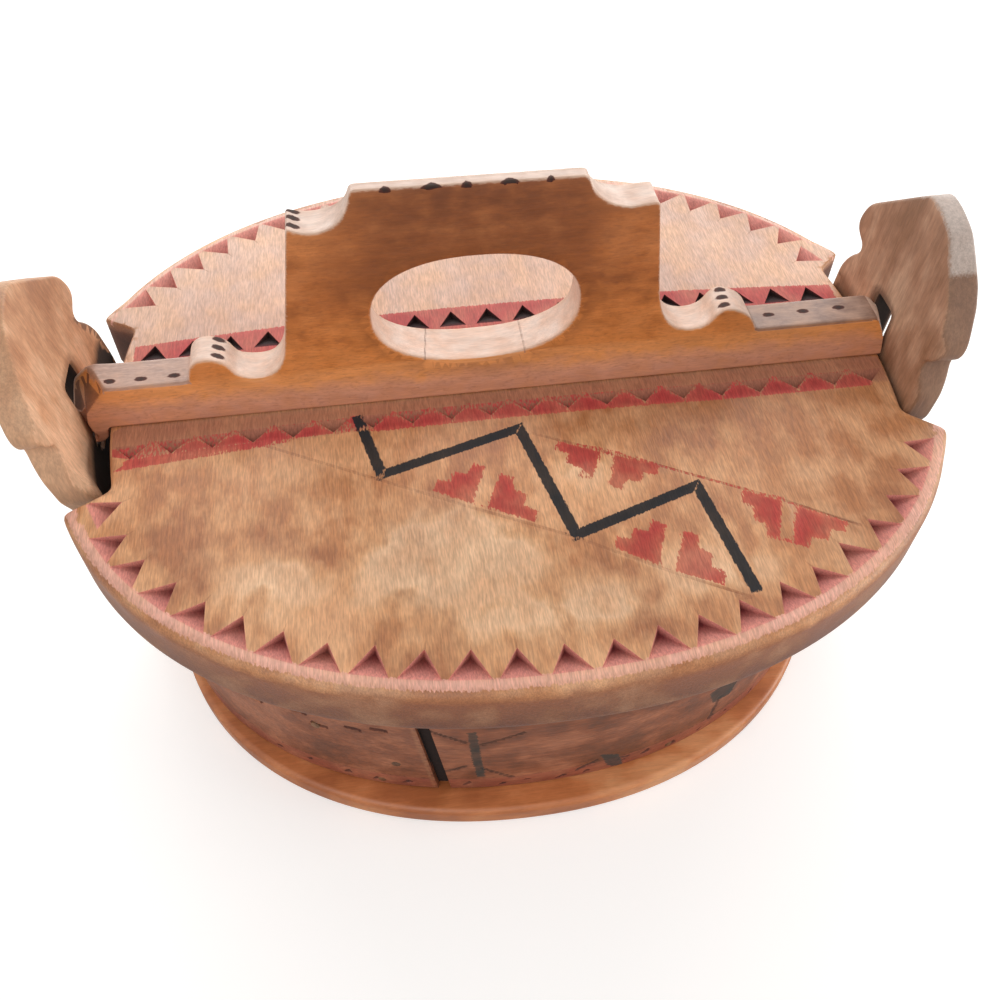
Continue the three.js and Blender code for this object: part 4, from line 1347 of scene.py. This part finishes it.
@dataclass(frozen=True)
class CarvedHandle:
    """The handle: a low rail with a tall pierced grip, two lobes and a tongue at each end.

    Everything is in the lid's own frame, drawn as (x, z), mm.
    """

    rail_top: float = 10.3
    rail_half: float = 5.3
    foot_half: float = 9.5
    top: float = 63.0
    bevel_start: float = 52.0
    bevel_back: float = -2.3
    tongue_half: Pair = (5.4, 4.5)
    belly_half: float = 8.0
    belly_z: Pair = (9.0, 20.0)
    belly_x: Pair = (-58.0, 44.0)
    taper_left: Pair = (-113.0, -112.8)
    taper_right: Pair = (107.2, 107.5)
    facets: tuple[tuple[float, float, float], ...] = ((-106.6, 1.74, 2.14), (105.0, 3.72, 1.99))
    hole_middle: Pair = (-7.6, 25.9)
    hole_half: Pair = (27.1, 16.6)
    hole_power: float = 2.3
    edge_round: float = 0.7
    start: Pair = (-117.1, -1)
    strokes: tuple[tuple[float, ...], ...] = (
        (-117.1, 6.4), (-112.9, 10), (-110.5, 10.9), (-108, 10.6, -104, 10.3), (-84.3, 10.3),
        (-84.2, 17, -79, 17), (-73.6, 16.8, -72.2, 11.4), (-68.5, 8.6, -64.6, 9.4),
        (-59.2, 10.8, -57.9, 18.4), (-52.4, 51.7), (-51.9, 54.6), (-50.0, 52.6, -46.5, 52.4),
        (-37.6, 52.6, -36.3, 63), (19.2, 62), (21, 54, 30, 52.6), (37.2, 53.4), (40.6, 27.1),
        (42.4, 12.8, 51, 12.4), (56, 12.4, 57.2, 15.6), (58.8, 19.2, 62.4, 18),
        (68.6, 15.6, 69.7, 10.3), (105, 10.3), (109.4, 7), (109.4, 1.5), (108.2, 0.3), (-108.3, 0.3),
        (-108.3, -2.4), (-109.3, -4.8, -112.5, -4.8), (-116.6, -4.6, -117.1, -1),
    )
    punches: tuple[Pair, ...] = (
        (-105.5, -2.2), (-97.3, -2.2), (-88.6, -2.0), (75.3, 0.4), (85.3, 0.6), (95.7, 0.8),
    )
    punch_half: Pair = (1.75, 0.95)
    slits: tuple[Pair, ...] = (
        (-75.8, -2.6), (-75.8, 0.8), (-75.8, 4.0), (60.2, -2.8), (60.5, 0.4), (60.8, 3.6),
        (-50.4, -2.6), (-50.4, 0.6), (-50.4, 3.4),
    )
    slit_half: Pair = (1.7, 1.0)
    top_spans: tuple[Pair, ...] = ((-21.2, -14.2), (-11.4, -7.6), (-2.8, 3.6), (8.6, 11.4), (-30.2, -26.4))
    bare_rail_x: Pair = (-84.0, 69.0)
    grip_x: float = -8.0
    grip_half: float = 34.0
    grip_z: float = 34.0
    low_z: float = 24.0
    dust_z: float = 6.2
    crack_x: Pair = (-21.2, 5.5)

    def outline(self) -> Array:
        """The handle seen from the front, as (x, z), starting under the left tongue."""
        return soften(trace(self.start, self.strokes), 2)

    def hole(self) -> Array:
        """The hand hole, clockwise."""
        return oval(self.hole_half, self.hole_power, -ring_angles(300)) + self.hole_middle

    def half_width(self, flat: Array) -> Array:
        """Half the thickness at (x, z): upright above the rail, sloping out below, thin at the tongues."""
        x, z = flat[:, 0], flat[:, 1]
        section = np.interp(z, [0, self.rail_top], [self.foot_half, self.rail_half])
        full = self.foot_half + 1
        widths = [self.tongue_half[0], full, full, self.tongue_half[1]]
        return np.minimum(section, np.interp(x, [*self.taper_left, *self.taper_right], widths))

    def front_width(self, flat: Array) -> Array:
        """How far forward the front face is: as half the thickness, but for a facet cut off at each end.

        A facet's plane is y = -h + a p + b (z - t), p being how far past its start a point is.
        """
        x, z = flat[:, 0], flat[:, 1]
        width = self.half_width(flat)
        for start, slope_x, slope_z in self.facets:
            past = (x - start) * math.copysign(1, start)
            plane = self.rail_half - slope_x * past - slope_z * (z - self.rail_top)
            width = np.where(past > 0, np.minimum(width, plane), width)
        return np.maximum(width, 1.5 - self.back_width(flat))

    def back_width(self, flat: Array) -> Array:
        """The back face's y: as the front, but fuller below the hand hole and bevelled off at the top."""
        x, z = flat[:, 0], flat[:, 1]
        share = np.clip((z - self.bevel_start) / (self.top + 1 - self.bevel_start), 0, 1)
        belly = np.interp(z, [0, *self.belly_z], [self.foot_half, self.belly_half, self.rail_half])
        fullness = np.clip(np.minimum(x - self.belly_x[0], self.belly_x[1] - x) / 10, 0, 1)
        plain = self.half_width(flat)
        return plain + np.maximum(belly - plain, 0) * fullness - share * (self.rail_half - self.bevel_back)

    def top_chips(self) -> list[Array]:
        """The small dark triangles over the top's front edge, as (x, how far down from the edge)."""
        return [np.array([(a, -0.6), (b, -0.6), ((a + b) / 2 + 0.4, 1.8)]) for a, b in self.top_spans]

    def stain(self, flat: Array, across: Array, side: Side) -> Stained:
        """Where the handle is browner round the hand hole, dusty, pale along its edges as painted highlight,
        darker on its end facets as painted shade, cracked and nicked.
        """
        x, z = flat[:, 0], flat[:, 1]
        grip = np.minimum(z - self.grip_z, self.grip_half - np.abs(x - self.grip_x))
        found = {"grip": grip, "low": self.low_z - z, "dust": self.dust_z - z}
        if side is Side.BACK:
            return found
        if side is Side.FACE:
            # Painted shade on the facets at the ends
            found["end"] = self.half_width(flat) - self.front_width(flat) - 0.3
            found["halo"] = 1.6 - np.abs(reach(flat, self.hole()) - 1.6)
            found["nick"] = cover(np.column_stack([x, (self.top - 0.2 - z) * 1.7]), self.top_chips())
            return found
        place = np.column_stack([x, across])
        ovals = [(place - spot) / self.punch_half for spot in self.punches]
        slits = [(place - spot) / self.slit_half for spot in self.slits]
        far = np.min([np.linalg.norm(p, axis=1) for p in ovals + slits], 0)
        punched = np.where(z > 8, (1 - far) * 0.9, OUTSIDE)
        chipped = cover(np.column_stack([x, across + self.rail_half]), self.top_chips())
        found["nick"] = np.maximum(punched, np.where(z > self.top - 3, chipped, OUTSIDE))
        # Pale along the cut edges: painted highlight
        front = np.minimum(self.front_width(flat), self.rail_half)
        found["worn"] = np.minimum(across + front, self.back_width(flat) - across) - 0.2
        low_x, high_x = self.bare_rail_x
        on_rail = (np.abs(z - self.rail_top) < 0.5) & ((x < low_x) | (x > high_x))
        found["tread"] = np.where(on_rail, np.where(x < 0, 0.9, 3.0), OUTSIDE)
        in_hole = np.linalg.norm((flat - self.hole_middle) / self.hole_half, axis=1) < 1.3
        left, right = self.crack_x
        cracks = 0.25 - np.minimum(np.abs(x - left - 0.1 * across), np.abs(x - right))
        found["crack"] = np.where(in_hole & (z < self.hole_middle[1]), cracks, OUTSIDE)
        return found

    def build(self, finish: Material) -> None:
        """Makes the handle."""
        shell = Shell(*(stain.attribute for stain in HANDLE_STAINS))
        creases = [np.array([(-57.0, self.rail_top), (42.0, self.rail_top)])]
        creases += [np.array([(x, 2.0), (x, 5.0)]) for x in (*self.taper_left, *self.taper_right)]
        spare = (self.foot_half - self.rail_half) / self.rail_top
        folds = list(creases)
        for (start, slope_x, slope_z), end in zip(self.facets, (self.taper_left[1], self.taper_right[0])):
            drop = slope_x * abs(end - start) / (slope_z - spare)
            line = np.array([(start, self.rail_top), (end, self.rail_top - drop)])
            folds.append(line[0] + (line[1] - line[0]) * np.array([[0.2], [0.96]]))
        Board(
            loops=[self.outline(), self.hole()],
            face=lambda flat: -self.front_width(flat),
            back=self.back_width,
            place=lambda flat, across: upright(flat, across) + LID_ORIGIN,
            stain=self.stain,
            edge_round=self.edge_round,
            edge_rows=18,
            spacing=(2.2, 2.6),
            face_creases=folds,
            back_creases=creases,
        ).carve(shell)
        shell.piece("handle_rail_carved", finish, Body.LID, ["handle_rail"])


@dataclass(frozen=True)
class SpringEar:
    """An upright ear: a thin leaning board with a shaped head and a slot for the handle's tongue.

    It is drawn looking along the handle, as (y, z), mm.
    """

    side: int
    thickness: float = 8.0
    foot_x: float = 107.6
    foot_z: float = 8.3
    lean: float = math.tan(math.radians(2.0))
    bend: float = math.tan(math.radians(8.0))
    bend_z: Pair = (86.0, 100.0)
    hollow: float = 2 / 28**2
    chamfer_y: float = -29.9
    slot_half: Pair = (5.8, 5.2)
    slot_top: Pair = (112.2, 111.2)
    slot_drop: Pair = (4.6, 2.6)
    slot_low: float = 89.0
    left_head: Pair = (118.0, 0.9)
    knee_depth: float = 3.2
    knee_z: Pair = (94.0, 9.0)
    knee_y: Pair = (-22.0, 7.0)
    head_thinned: tuple[float, float, float] = (134.0, 10.0, 1.6)
    slot_stain: float = 2.2
    facet_z: float = 136.5
    shade_z: Pair = (98.0, 118.0)
    inner_shade_z: float = 99.0
    tenon_x: Pair = (108.4, 114.0)
    tenon_half: float = 7.0
    tenon_z: Pair = (0.3, 10.0)
    edge_round: float = 0.8
    start: Pair = (-11, 8.3)
    strokes: tuple[tuple[float, ...], ...] = (
        (-16, 60), (-22, 80), (-26.4, 87, -30.8, 96), (-31.4, 104), (-31, 109, -28.4, 113),
        (-27.6, 115, -30.6, 116.4), (-33.2, 119.6, -31.4, 123.4), (-27.4, 130.6), (-20.8, 137.3, -13.4, 143),
        (-6, 145.6, 0.6, 145), (21.4, 129.2), (24.2, 127, 24.8, 121.8), (24.6, 118.6, 20.4, 117.2),
        (18.4, 116, 20, 113.4), (24, 110.4, 25.4, 105), (26, 95), (25, 80), (11, 8.3),
    )

    def outline(self) -> Array:
        """The ear's outline, starting at its foot on the near side."""
        path = trace(self.start, self.strokes, 1.1)
        if self.side < 0:
            start, scale = self.left_head
            path[:, 1] = np.where(path[:, 1] > start, start + (path[:, 1] - start) * scale, path[:, 1])
        return soften(path, 2)

    def slot_size(self) -> tuple[float, float, float]:
        """This ear's slot: its half width, its top and how far its top drops on the way out."""
        which = 0 if self.side < 0 else 1
        return self.slot_half[which], self.slot_top[which], self.slot_drop[which]

    def slot(self) -> Array:
        """The slot, clockwise."""
        half, high, _ = self.slot_size()
        return soften(join([rectangle(-half, half, self.slot_low, high)], 1.1), 2)

    def inner(self, flat: Array) -> Array:
        """How far out the inner face is: a leaning board, hollowed across, chamfered along its near edge."""
        y, z = flat[:, 0], flat[:, 1]
        span = self.bend_z[1] - self.bend_z[0]
        past = np.clip(z - self.bend_z[0], 0, span)
        bent = (self.bend - self.lean) * (past**2 / (2 * span) + np.maximum(0, z - self.bend_z[1]))
        outwards = self.foot_x + self.lean * (z - self.foot_z) - self.hollow * y**2
        left_only = bent - self.knee(flat) if self.side < 0 else 0
        return outwards + left_only + np.maximum(0, self.chamfer_y - y)

    def knee(self, flat: Array) -> Array:
        """How much the left ear is thickened on its near side at the lid's level, mm."""
        y, z = flat[:, 0], flat[:, 1]
        (middle, half), (start, run) = self.knee_z, self.knee_y
        swell = np.clip(1 - np.abs(z - middle) / half, 0, 1)
        return self.knee_depth * swell * np.clip((start - y) / run, 0, 1)

    def outer(self, flat: Array) -> Array:
        """How far out the outer face is: parallel to the inner one, thinned towards the head."""
        y, z = flat[:, 0], flat[:, 1]
        knee = self.knee(flat) if self.side < 0 else 0
        start, run, depth = self.head_thinned
        thinned = depth * np.clip((z - start) / run, 0, 1)
        return self.inner(flat) + knee - np.maximum(0, self.chamfer_y - y) + self.thickness - thinned

    def place(self, flat: Array, across: Array) -> Array:
        """Flat points as (x, y, z) rows. The slot's top slopes down from the inner face to the outer one."""
        half, high, drop = self.slot_size()
        share = np.clip((across - self.inner(flat)) / self.thickness, 0, 1)
        near = np.clip(1 - reach(flat, np.array([(-half, high), (half, high)]), False) / 9, 0, 1)
        lowered = np.column_stack([flat[:, 0], flat[:, 1] - drop * share * near])
        return np.column_stack([self.side * across, lowered])

    def build(self, finish: Material) -> None:
        """Makes the ear and its tenon."""
        word, body = ("left", Body.EAR_LEFT) if self.side < 0 else ("right", Body.EAR_RIGHT)
        shell = Shell(*{stain.attribute: 0 for stain in EAR_STAINS + SHADED_EAR_STAINS})
        hole = self.slot()

        def stain(flat: Array, across: Array, side: Side) -> Stained:
            """How near each point is to the slot, and which cut faces it is on, mm."""
            y, z = flat[:, 0], flat[:, 1]
            found = {"slot": self.slot_stain - reach(flat, hole)}
            if side is Side.EDGE:
                rim = reach(flat, hole) > 4.0
                # The cut edges: darker, as painted shade on the right ear
                found["edge"] = np.where(rim, np.minimum(across - self.inner(flat), 3.0) - 0.2, OUTSIDE)
                # Painted highlight on the bevel at the right ear's head
                found["facet"] = np.where(rim & (y < 4), np.minimum(z - self.facet_z, found["edge"]), OUTSIDE)
                depth = np.minimum(across - self.inner(flat), self.outer(flat) - across)
                # Painted shade inside the slot
                found["void"] = np.where(rim, OUTSIDE, depth - 0.9)
                low, high = self.shade_z
                found["shade"] = np.where(rim & (y > 18), np.minimum(z - low, high - z), OUTSIDE)
            if side is Side.FACE:
                # Painted shade on the inner face, darkest low down by the lid: near black on the left ear,
                # browner on the right
                found["grime"] = self.inner_shade_z - z + 0.25 * y
            return found

        crease = np.array([(self.chamfer_y, 76.0), (self.chamfer_y, 122.0)])
        Board(
            loops=[self.outline(), hole],
            face=self.inner,
            back=self.outer,
            place=self.place,
            stain=stain,
            edge_round=self.edge_round,
            edge_rows=4,
            spacing=(2.4, 2.4),
            face_creases=[crease],
            back_creases=[crease],
        ).carve(shell)
        Board(
            loops=[soften(join([rectangle(*self.tenon_x, *self.tenon_z)[::-1]], 1.2), 1)],
            face=level(-self.tenon_half),
            back=level(self.tenon_half),
            place=lambda flat, across: upright(flat * (self.side, 1), across),
            edge_round=0.4,
            edge_rows=3,
            spacing=(3.0, 3.0),
        ).carve(shell)
        shell.piece(f"ear_{word}_shaped", finish, body, [f"ear_{word}"])


@dataclass(frozen=True)
class Studio:
    """A pale floor, soft lamps and the photograph's camera, fitted to the lid, the rail and the base."""

    eye: tuple[float, float, float] = (-27.768, -201.314, 287.610)
    yaw: float = 6.4063
    pitch: float = 51.0784
    roll: float = -0.9602
    lens: float = 34.896
    shift: Pair = (0.0231, 0.0116)
    floor_z: float = -0.0004
    floor_glow: float = 0.42
    room_light: float = 0.46

    def camera(self) -> None:
        """Adds the camera: forward from yaw and pitch, then turned about that line by the roll."""
        yaw, pitch, roll = (math.radians(v) for v in (self.yaw, self.pitch, self.roll))
        forward = Vector((math.sin(yaw) * math.cos(pitch), math.cos(yaw) * math.cos(pitch), -math.sin(pitch)))
        sideways = Vector((math.cos(yaw), -math.sin(yaw), 0.0))
        upward = sideways.cross(forward)
        right = sideways * math.cos(roll) + upward * math.sin(roll)
        up = upward * math.cos(roll) - sideways * math.sin(roll)
        lens = bpy.data.cameras.new("photo_camera")
        lens.lens = self.lens
        lens.sensor_width = 36.0
        lens.shift_x, lens.shift_y = self.shift
        lens.clip_start = 0.01
        seen = bpy.data.objects.new("photo_camera", lens)
        axes = Matrix((right, up, -forward)).transposed().to_4x4()
        seen.matrix_world = Matrix.Translation(Vector(self.eye) * MM) @ axes
        bpy.context.scene.collection.objects.link(seen)
        bpy.context.scene.camera = seen

    def lamp(self, name: str, place: tuple[float, float, float], size: Pair, radiance: float) -> None:
        """Adds a rectangular lamp that faces the box. Its power is pi times its area times its radiance."""
        light = bpy.data.lights.new(name, "AREA")
        light.shape = "RECTANGLE"
        light.size, light.size_y = size
        light.energy = math.pi * size[0] * size[1] * radiance
        thing = bpy.data.objects.new(name, light)
        thing.location = place
        aim = Vector((0.0, 0.0, 0.06)) - Vector(place)
        thing.rotation_euler = aim.to_track_quat("-Z", "Y").to_euler()
        bpy.context.scene.collection.objects.link(thing)

    def floor(self) -> None:
        """Adds the pale floor, a shallow disc whose rings stay level."""
        turn = ring_angles(64)
        radii = np.array([0.001, 0.6, 3.0])[:, None]
        x, y = radii * np.cos(turn), radii * np.sin(turn)
        points = np.stack([x, y, np.full(x.shape, self.floor_z)], 2)
        mesh = bpy.data.meshes.new("floor")
        number = np.arange(x.size).reshape(x.shape)
        ahead = np.roll(number, -1, 1)
        quads = np.stack([number[:-1], number[1:], ahead[1:], ahead[:-1]], 2).reshape(-1, 4)
        mesh.from_pydata(points.reshape(-1, 3).tolist(), [], quads.tolist() + [number[0].tolist()])
        material = bpy.data.materials.new("floor_matt_paper")
        nodes = Nodes(material)
        paper = nodes.add("ShaderNodeBsdfDiffuse", {"Color": linear("#e4e2df")})
        path = nodes.add("ShaderNodeLightPath")
        seen = nodes.math("MULTIPLY", path.outputs["Is Camera Ray"], self.floor_glow)
        glow = nodes.add("ShaderNodeEmission", {"Color": (1, 1, 1, 1), "Strength": seen})
        both = nodes.add("ShaderNodeAddShader", {0: paper.outputs[0], 1: glow.outputs[0]})
        nodes.add("ShaderNodeOutputMaterial", {"Surface": both.outputs[0]})
        mesh.materials.append(material)
        thing = bpy.data.objects.new("floor", mesh)
        bpy.context.scene.collection.objects.link(thing)

    def world(self) -> None:
        """Sets the room: dim to the object, white to the camera and to reflections."""
        world = bpy.data.worlds.new("room")
        nodes = Nodes(world)
        path = nodes.add("ShaderNodeLightPath")
        direct = nodes.math("MAXIMUM", path.outputs["Is Camera Ray"], path.outputs["Is Glossy Ray"])
        shown = nodes.math("MAXIMUM", direct, path.outputs["Is Transmission Ray"])
        strength = nodes.span(shown, 0.0, 1.0, self.room_light, 1.0)
        glow = nodes.add("ShaderNodeBackground", {"Color": (1, 1, 1, 1), "Strength": strength})
        nodes.add("ShaderNodeOutputWorld", {"Surface": glow.outputs[0]})
        bpy.context.scene.world = world

    def build(self) -> None:
        """Sets up the camera, the lamps, the floor and the room."""
        self.camera()
        # A long low lamp behind the box lays the pale gloss on everything that faces up
        self.lamp("lamp_behind", place=(0.05, 0.95, 0.55), size=(1.7, 0.55), radiance=4.6)
        self.lamp("lamp_front", place=(-0.5, -1.0, 1.0), size=(1.0, 1.0), radiance=2.2)
        # A small lamp low on the right gives the rims their warm glint and lights the left ear's inner face
        self.lamp("lamp_right", place=(1.05, -0.2, 0.25), size=(0.6, 0.45), radiance=6.0)
        self.floor()
        self.world()
        bpy.context.scene.view_settings.view_transform = "Standard"


class Finish(Enum):
    """The woods, one for each kind of piece."""

    BASE = "base"
    WALL = "wall"
    LID = "lid"
    HANDLE = "handle"
    EAR_LEFT = "ear_left"
    EAR_RIGHT = "ear_right"
    PEG = "peg"


def finishes() -> dict[Finish, Material]:
    """Makes every wood.

    Returns:
        The materials by finish.
    """
    # Birch ears, knife cut and lightly oiled: dry, with the fibres standing along the cut
    ear = CarvedWood(
        "birch_knife_cut_pale", "#b5805c", "#d29f79", "#e4b894", Grain.ALONG_Z,
        streak=(0.9, 7.0), blotch=24.0,
        streak_dark=0.14, bristle=0.08, roughness=(0.48, 0.66), relief=0.07, stains=EAR_STAINS,
    )
    woods = {
        # Pale birch, planed, oiled and rubbed by the table: smooth, pinkish tan, with little figure
        Finish.BASE: CarvedWood(
            "birch_planed_oiled", "#ac6439", "#c67a49", "#da9867", Grain.ALONG_X,
            blotch=34.0, streak_dark=0.08,
            bristle=0.05, roughness=(0.32, 0.46), relief=0.04,
        ),
        # Thin split pine, bent and long handled: reddish brown with dark dust in the grain
        Finish.WALL: CarvedWood(
            "pine_bent_darkened", "#6f3f28", "#8b5034", "#a8694a", Grain.ALONG_X,
            blotch=18.0, streak_dark=0.2,
            stains=WALL_STAINS,
        ),
        # Birch board, knife cut and oiled, then stained red and dark green in the carving
        Finish.LID: CarvedWood(
            "birch_carved_oiled", "#a96c44", "#c38658", "#dda477", Grain.ALONG_Y,
            streak=(0.7, 5.0), blotch=32.0,
            streak_dark=0.12, bristle=0.14, roughness=(0.4, 0.56), relief=0.12, stains=LID_STAINS,
        ),
        # Pine handle, whittled and polished by hands: orange, browner round the hand hole, pale along its cut
        # edges as painted highlight
        Finish.HANDLE: CarvedWood(
            "pine_whittled_polished", "#96572c", "#b26a36", "#c87d45", Grain.ALONG_X,
            streak=(1.6, 9.0), blotch=14.0,
            streak_dark=0.1, bristle=0.06, roughness=(0.42, 0.56), relief=0.06, stains=HANDLE_STAINS,
        ),
        Finish.EAR_LEFT: ear,
        # The same wood made darker and greyer as painted shade, with a darker near edge as painted shade and
        # a pale bevel on its head as painted highlight
        Finish.EAR_RIGHT: replace(
            ear, name="birch_knife_cut_shaded", dark="#8e674c", middle="#a67d62", pale="#c09a7e",
            stains=SHADED_EAR_STAINS,
        ),
        # Split birch pegs and wedges, darker at their worn ends
        Finish.PEG: CarvedWood(
            "birch_split_pegs", "#5b3c28", "#7c5639", "#966c4a", Grain.ALONG_Y, blotch=5.0,
        ),
    }
    return {kind: wood.build() for kind, wood in woods.items()}


def build_pegs(wall: BentWall, finish: Material) -> None:
    """Makes the pegs through the lap and round the wall's foot, and finishes the hidden dowels and wedges."""
    lap_places = ((-36.0, 52.0), (-38.9, 23.3), (-45.0, 55.0), (-60.0, 38.0))
    lap_peg = WhittledPeg(radius=1.5, length=4.0, proud=0.2)
    for i, (x, z) in enumerate(lap_places, 1):
        lap_peg.build(f"lap_peg_{i}", wall, wall.front_angle(x), z, finish)
    foot_count, foot_z = 8, 11.0
    foot_peg = WhittledPeg(radius=1.4, length=13.0, proud=0.1)
    for i in range(1, foot_count + 1):
        foot_peg.build(f"foot_peg_{i}", wall, (i - 0.5) / foot_count * TURN, foot_z, finish)
    hidden = [f"rail_dowel_{i}" for i in range(1, 5)] + ["ear_wedge_left", "ear_wedge_right"]
    for node in hidden:
        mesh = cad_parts[node].data
        mesh.materials.clear()
        mesh.materials.append(finish)


def main() -> None:
    """Builds the studio and every piece in order."""
    logging.basicConfig(level=logging.INFO, format="%(message)s")
    Studio().build()
    woods = finishes()
    wall = BentWall()
    BaseBoard().build(woods[Finish.BASE])
    wall.build(woods[Finish.WALL], WallMarks())
    build_pegs(wall, woods[Finish.PEG])
    SpringEar(-1).build(woods[Finish.EAR_LEFT])
    SpringEar(1).build(woods[Finish.EAR_RIGHT])
    LidBoard().build(woods[Finish.LID])
    CarvedHandle().build(woods[Finish.HANDLE])


if __name__ == "__main__":
    main()
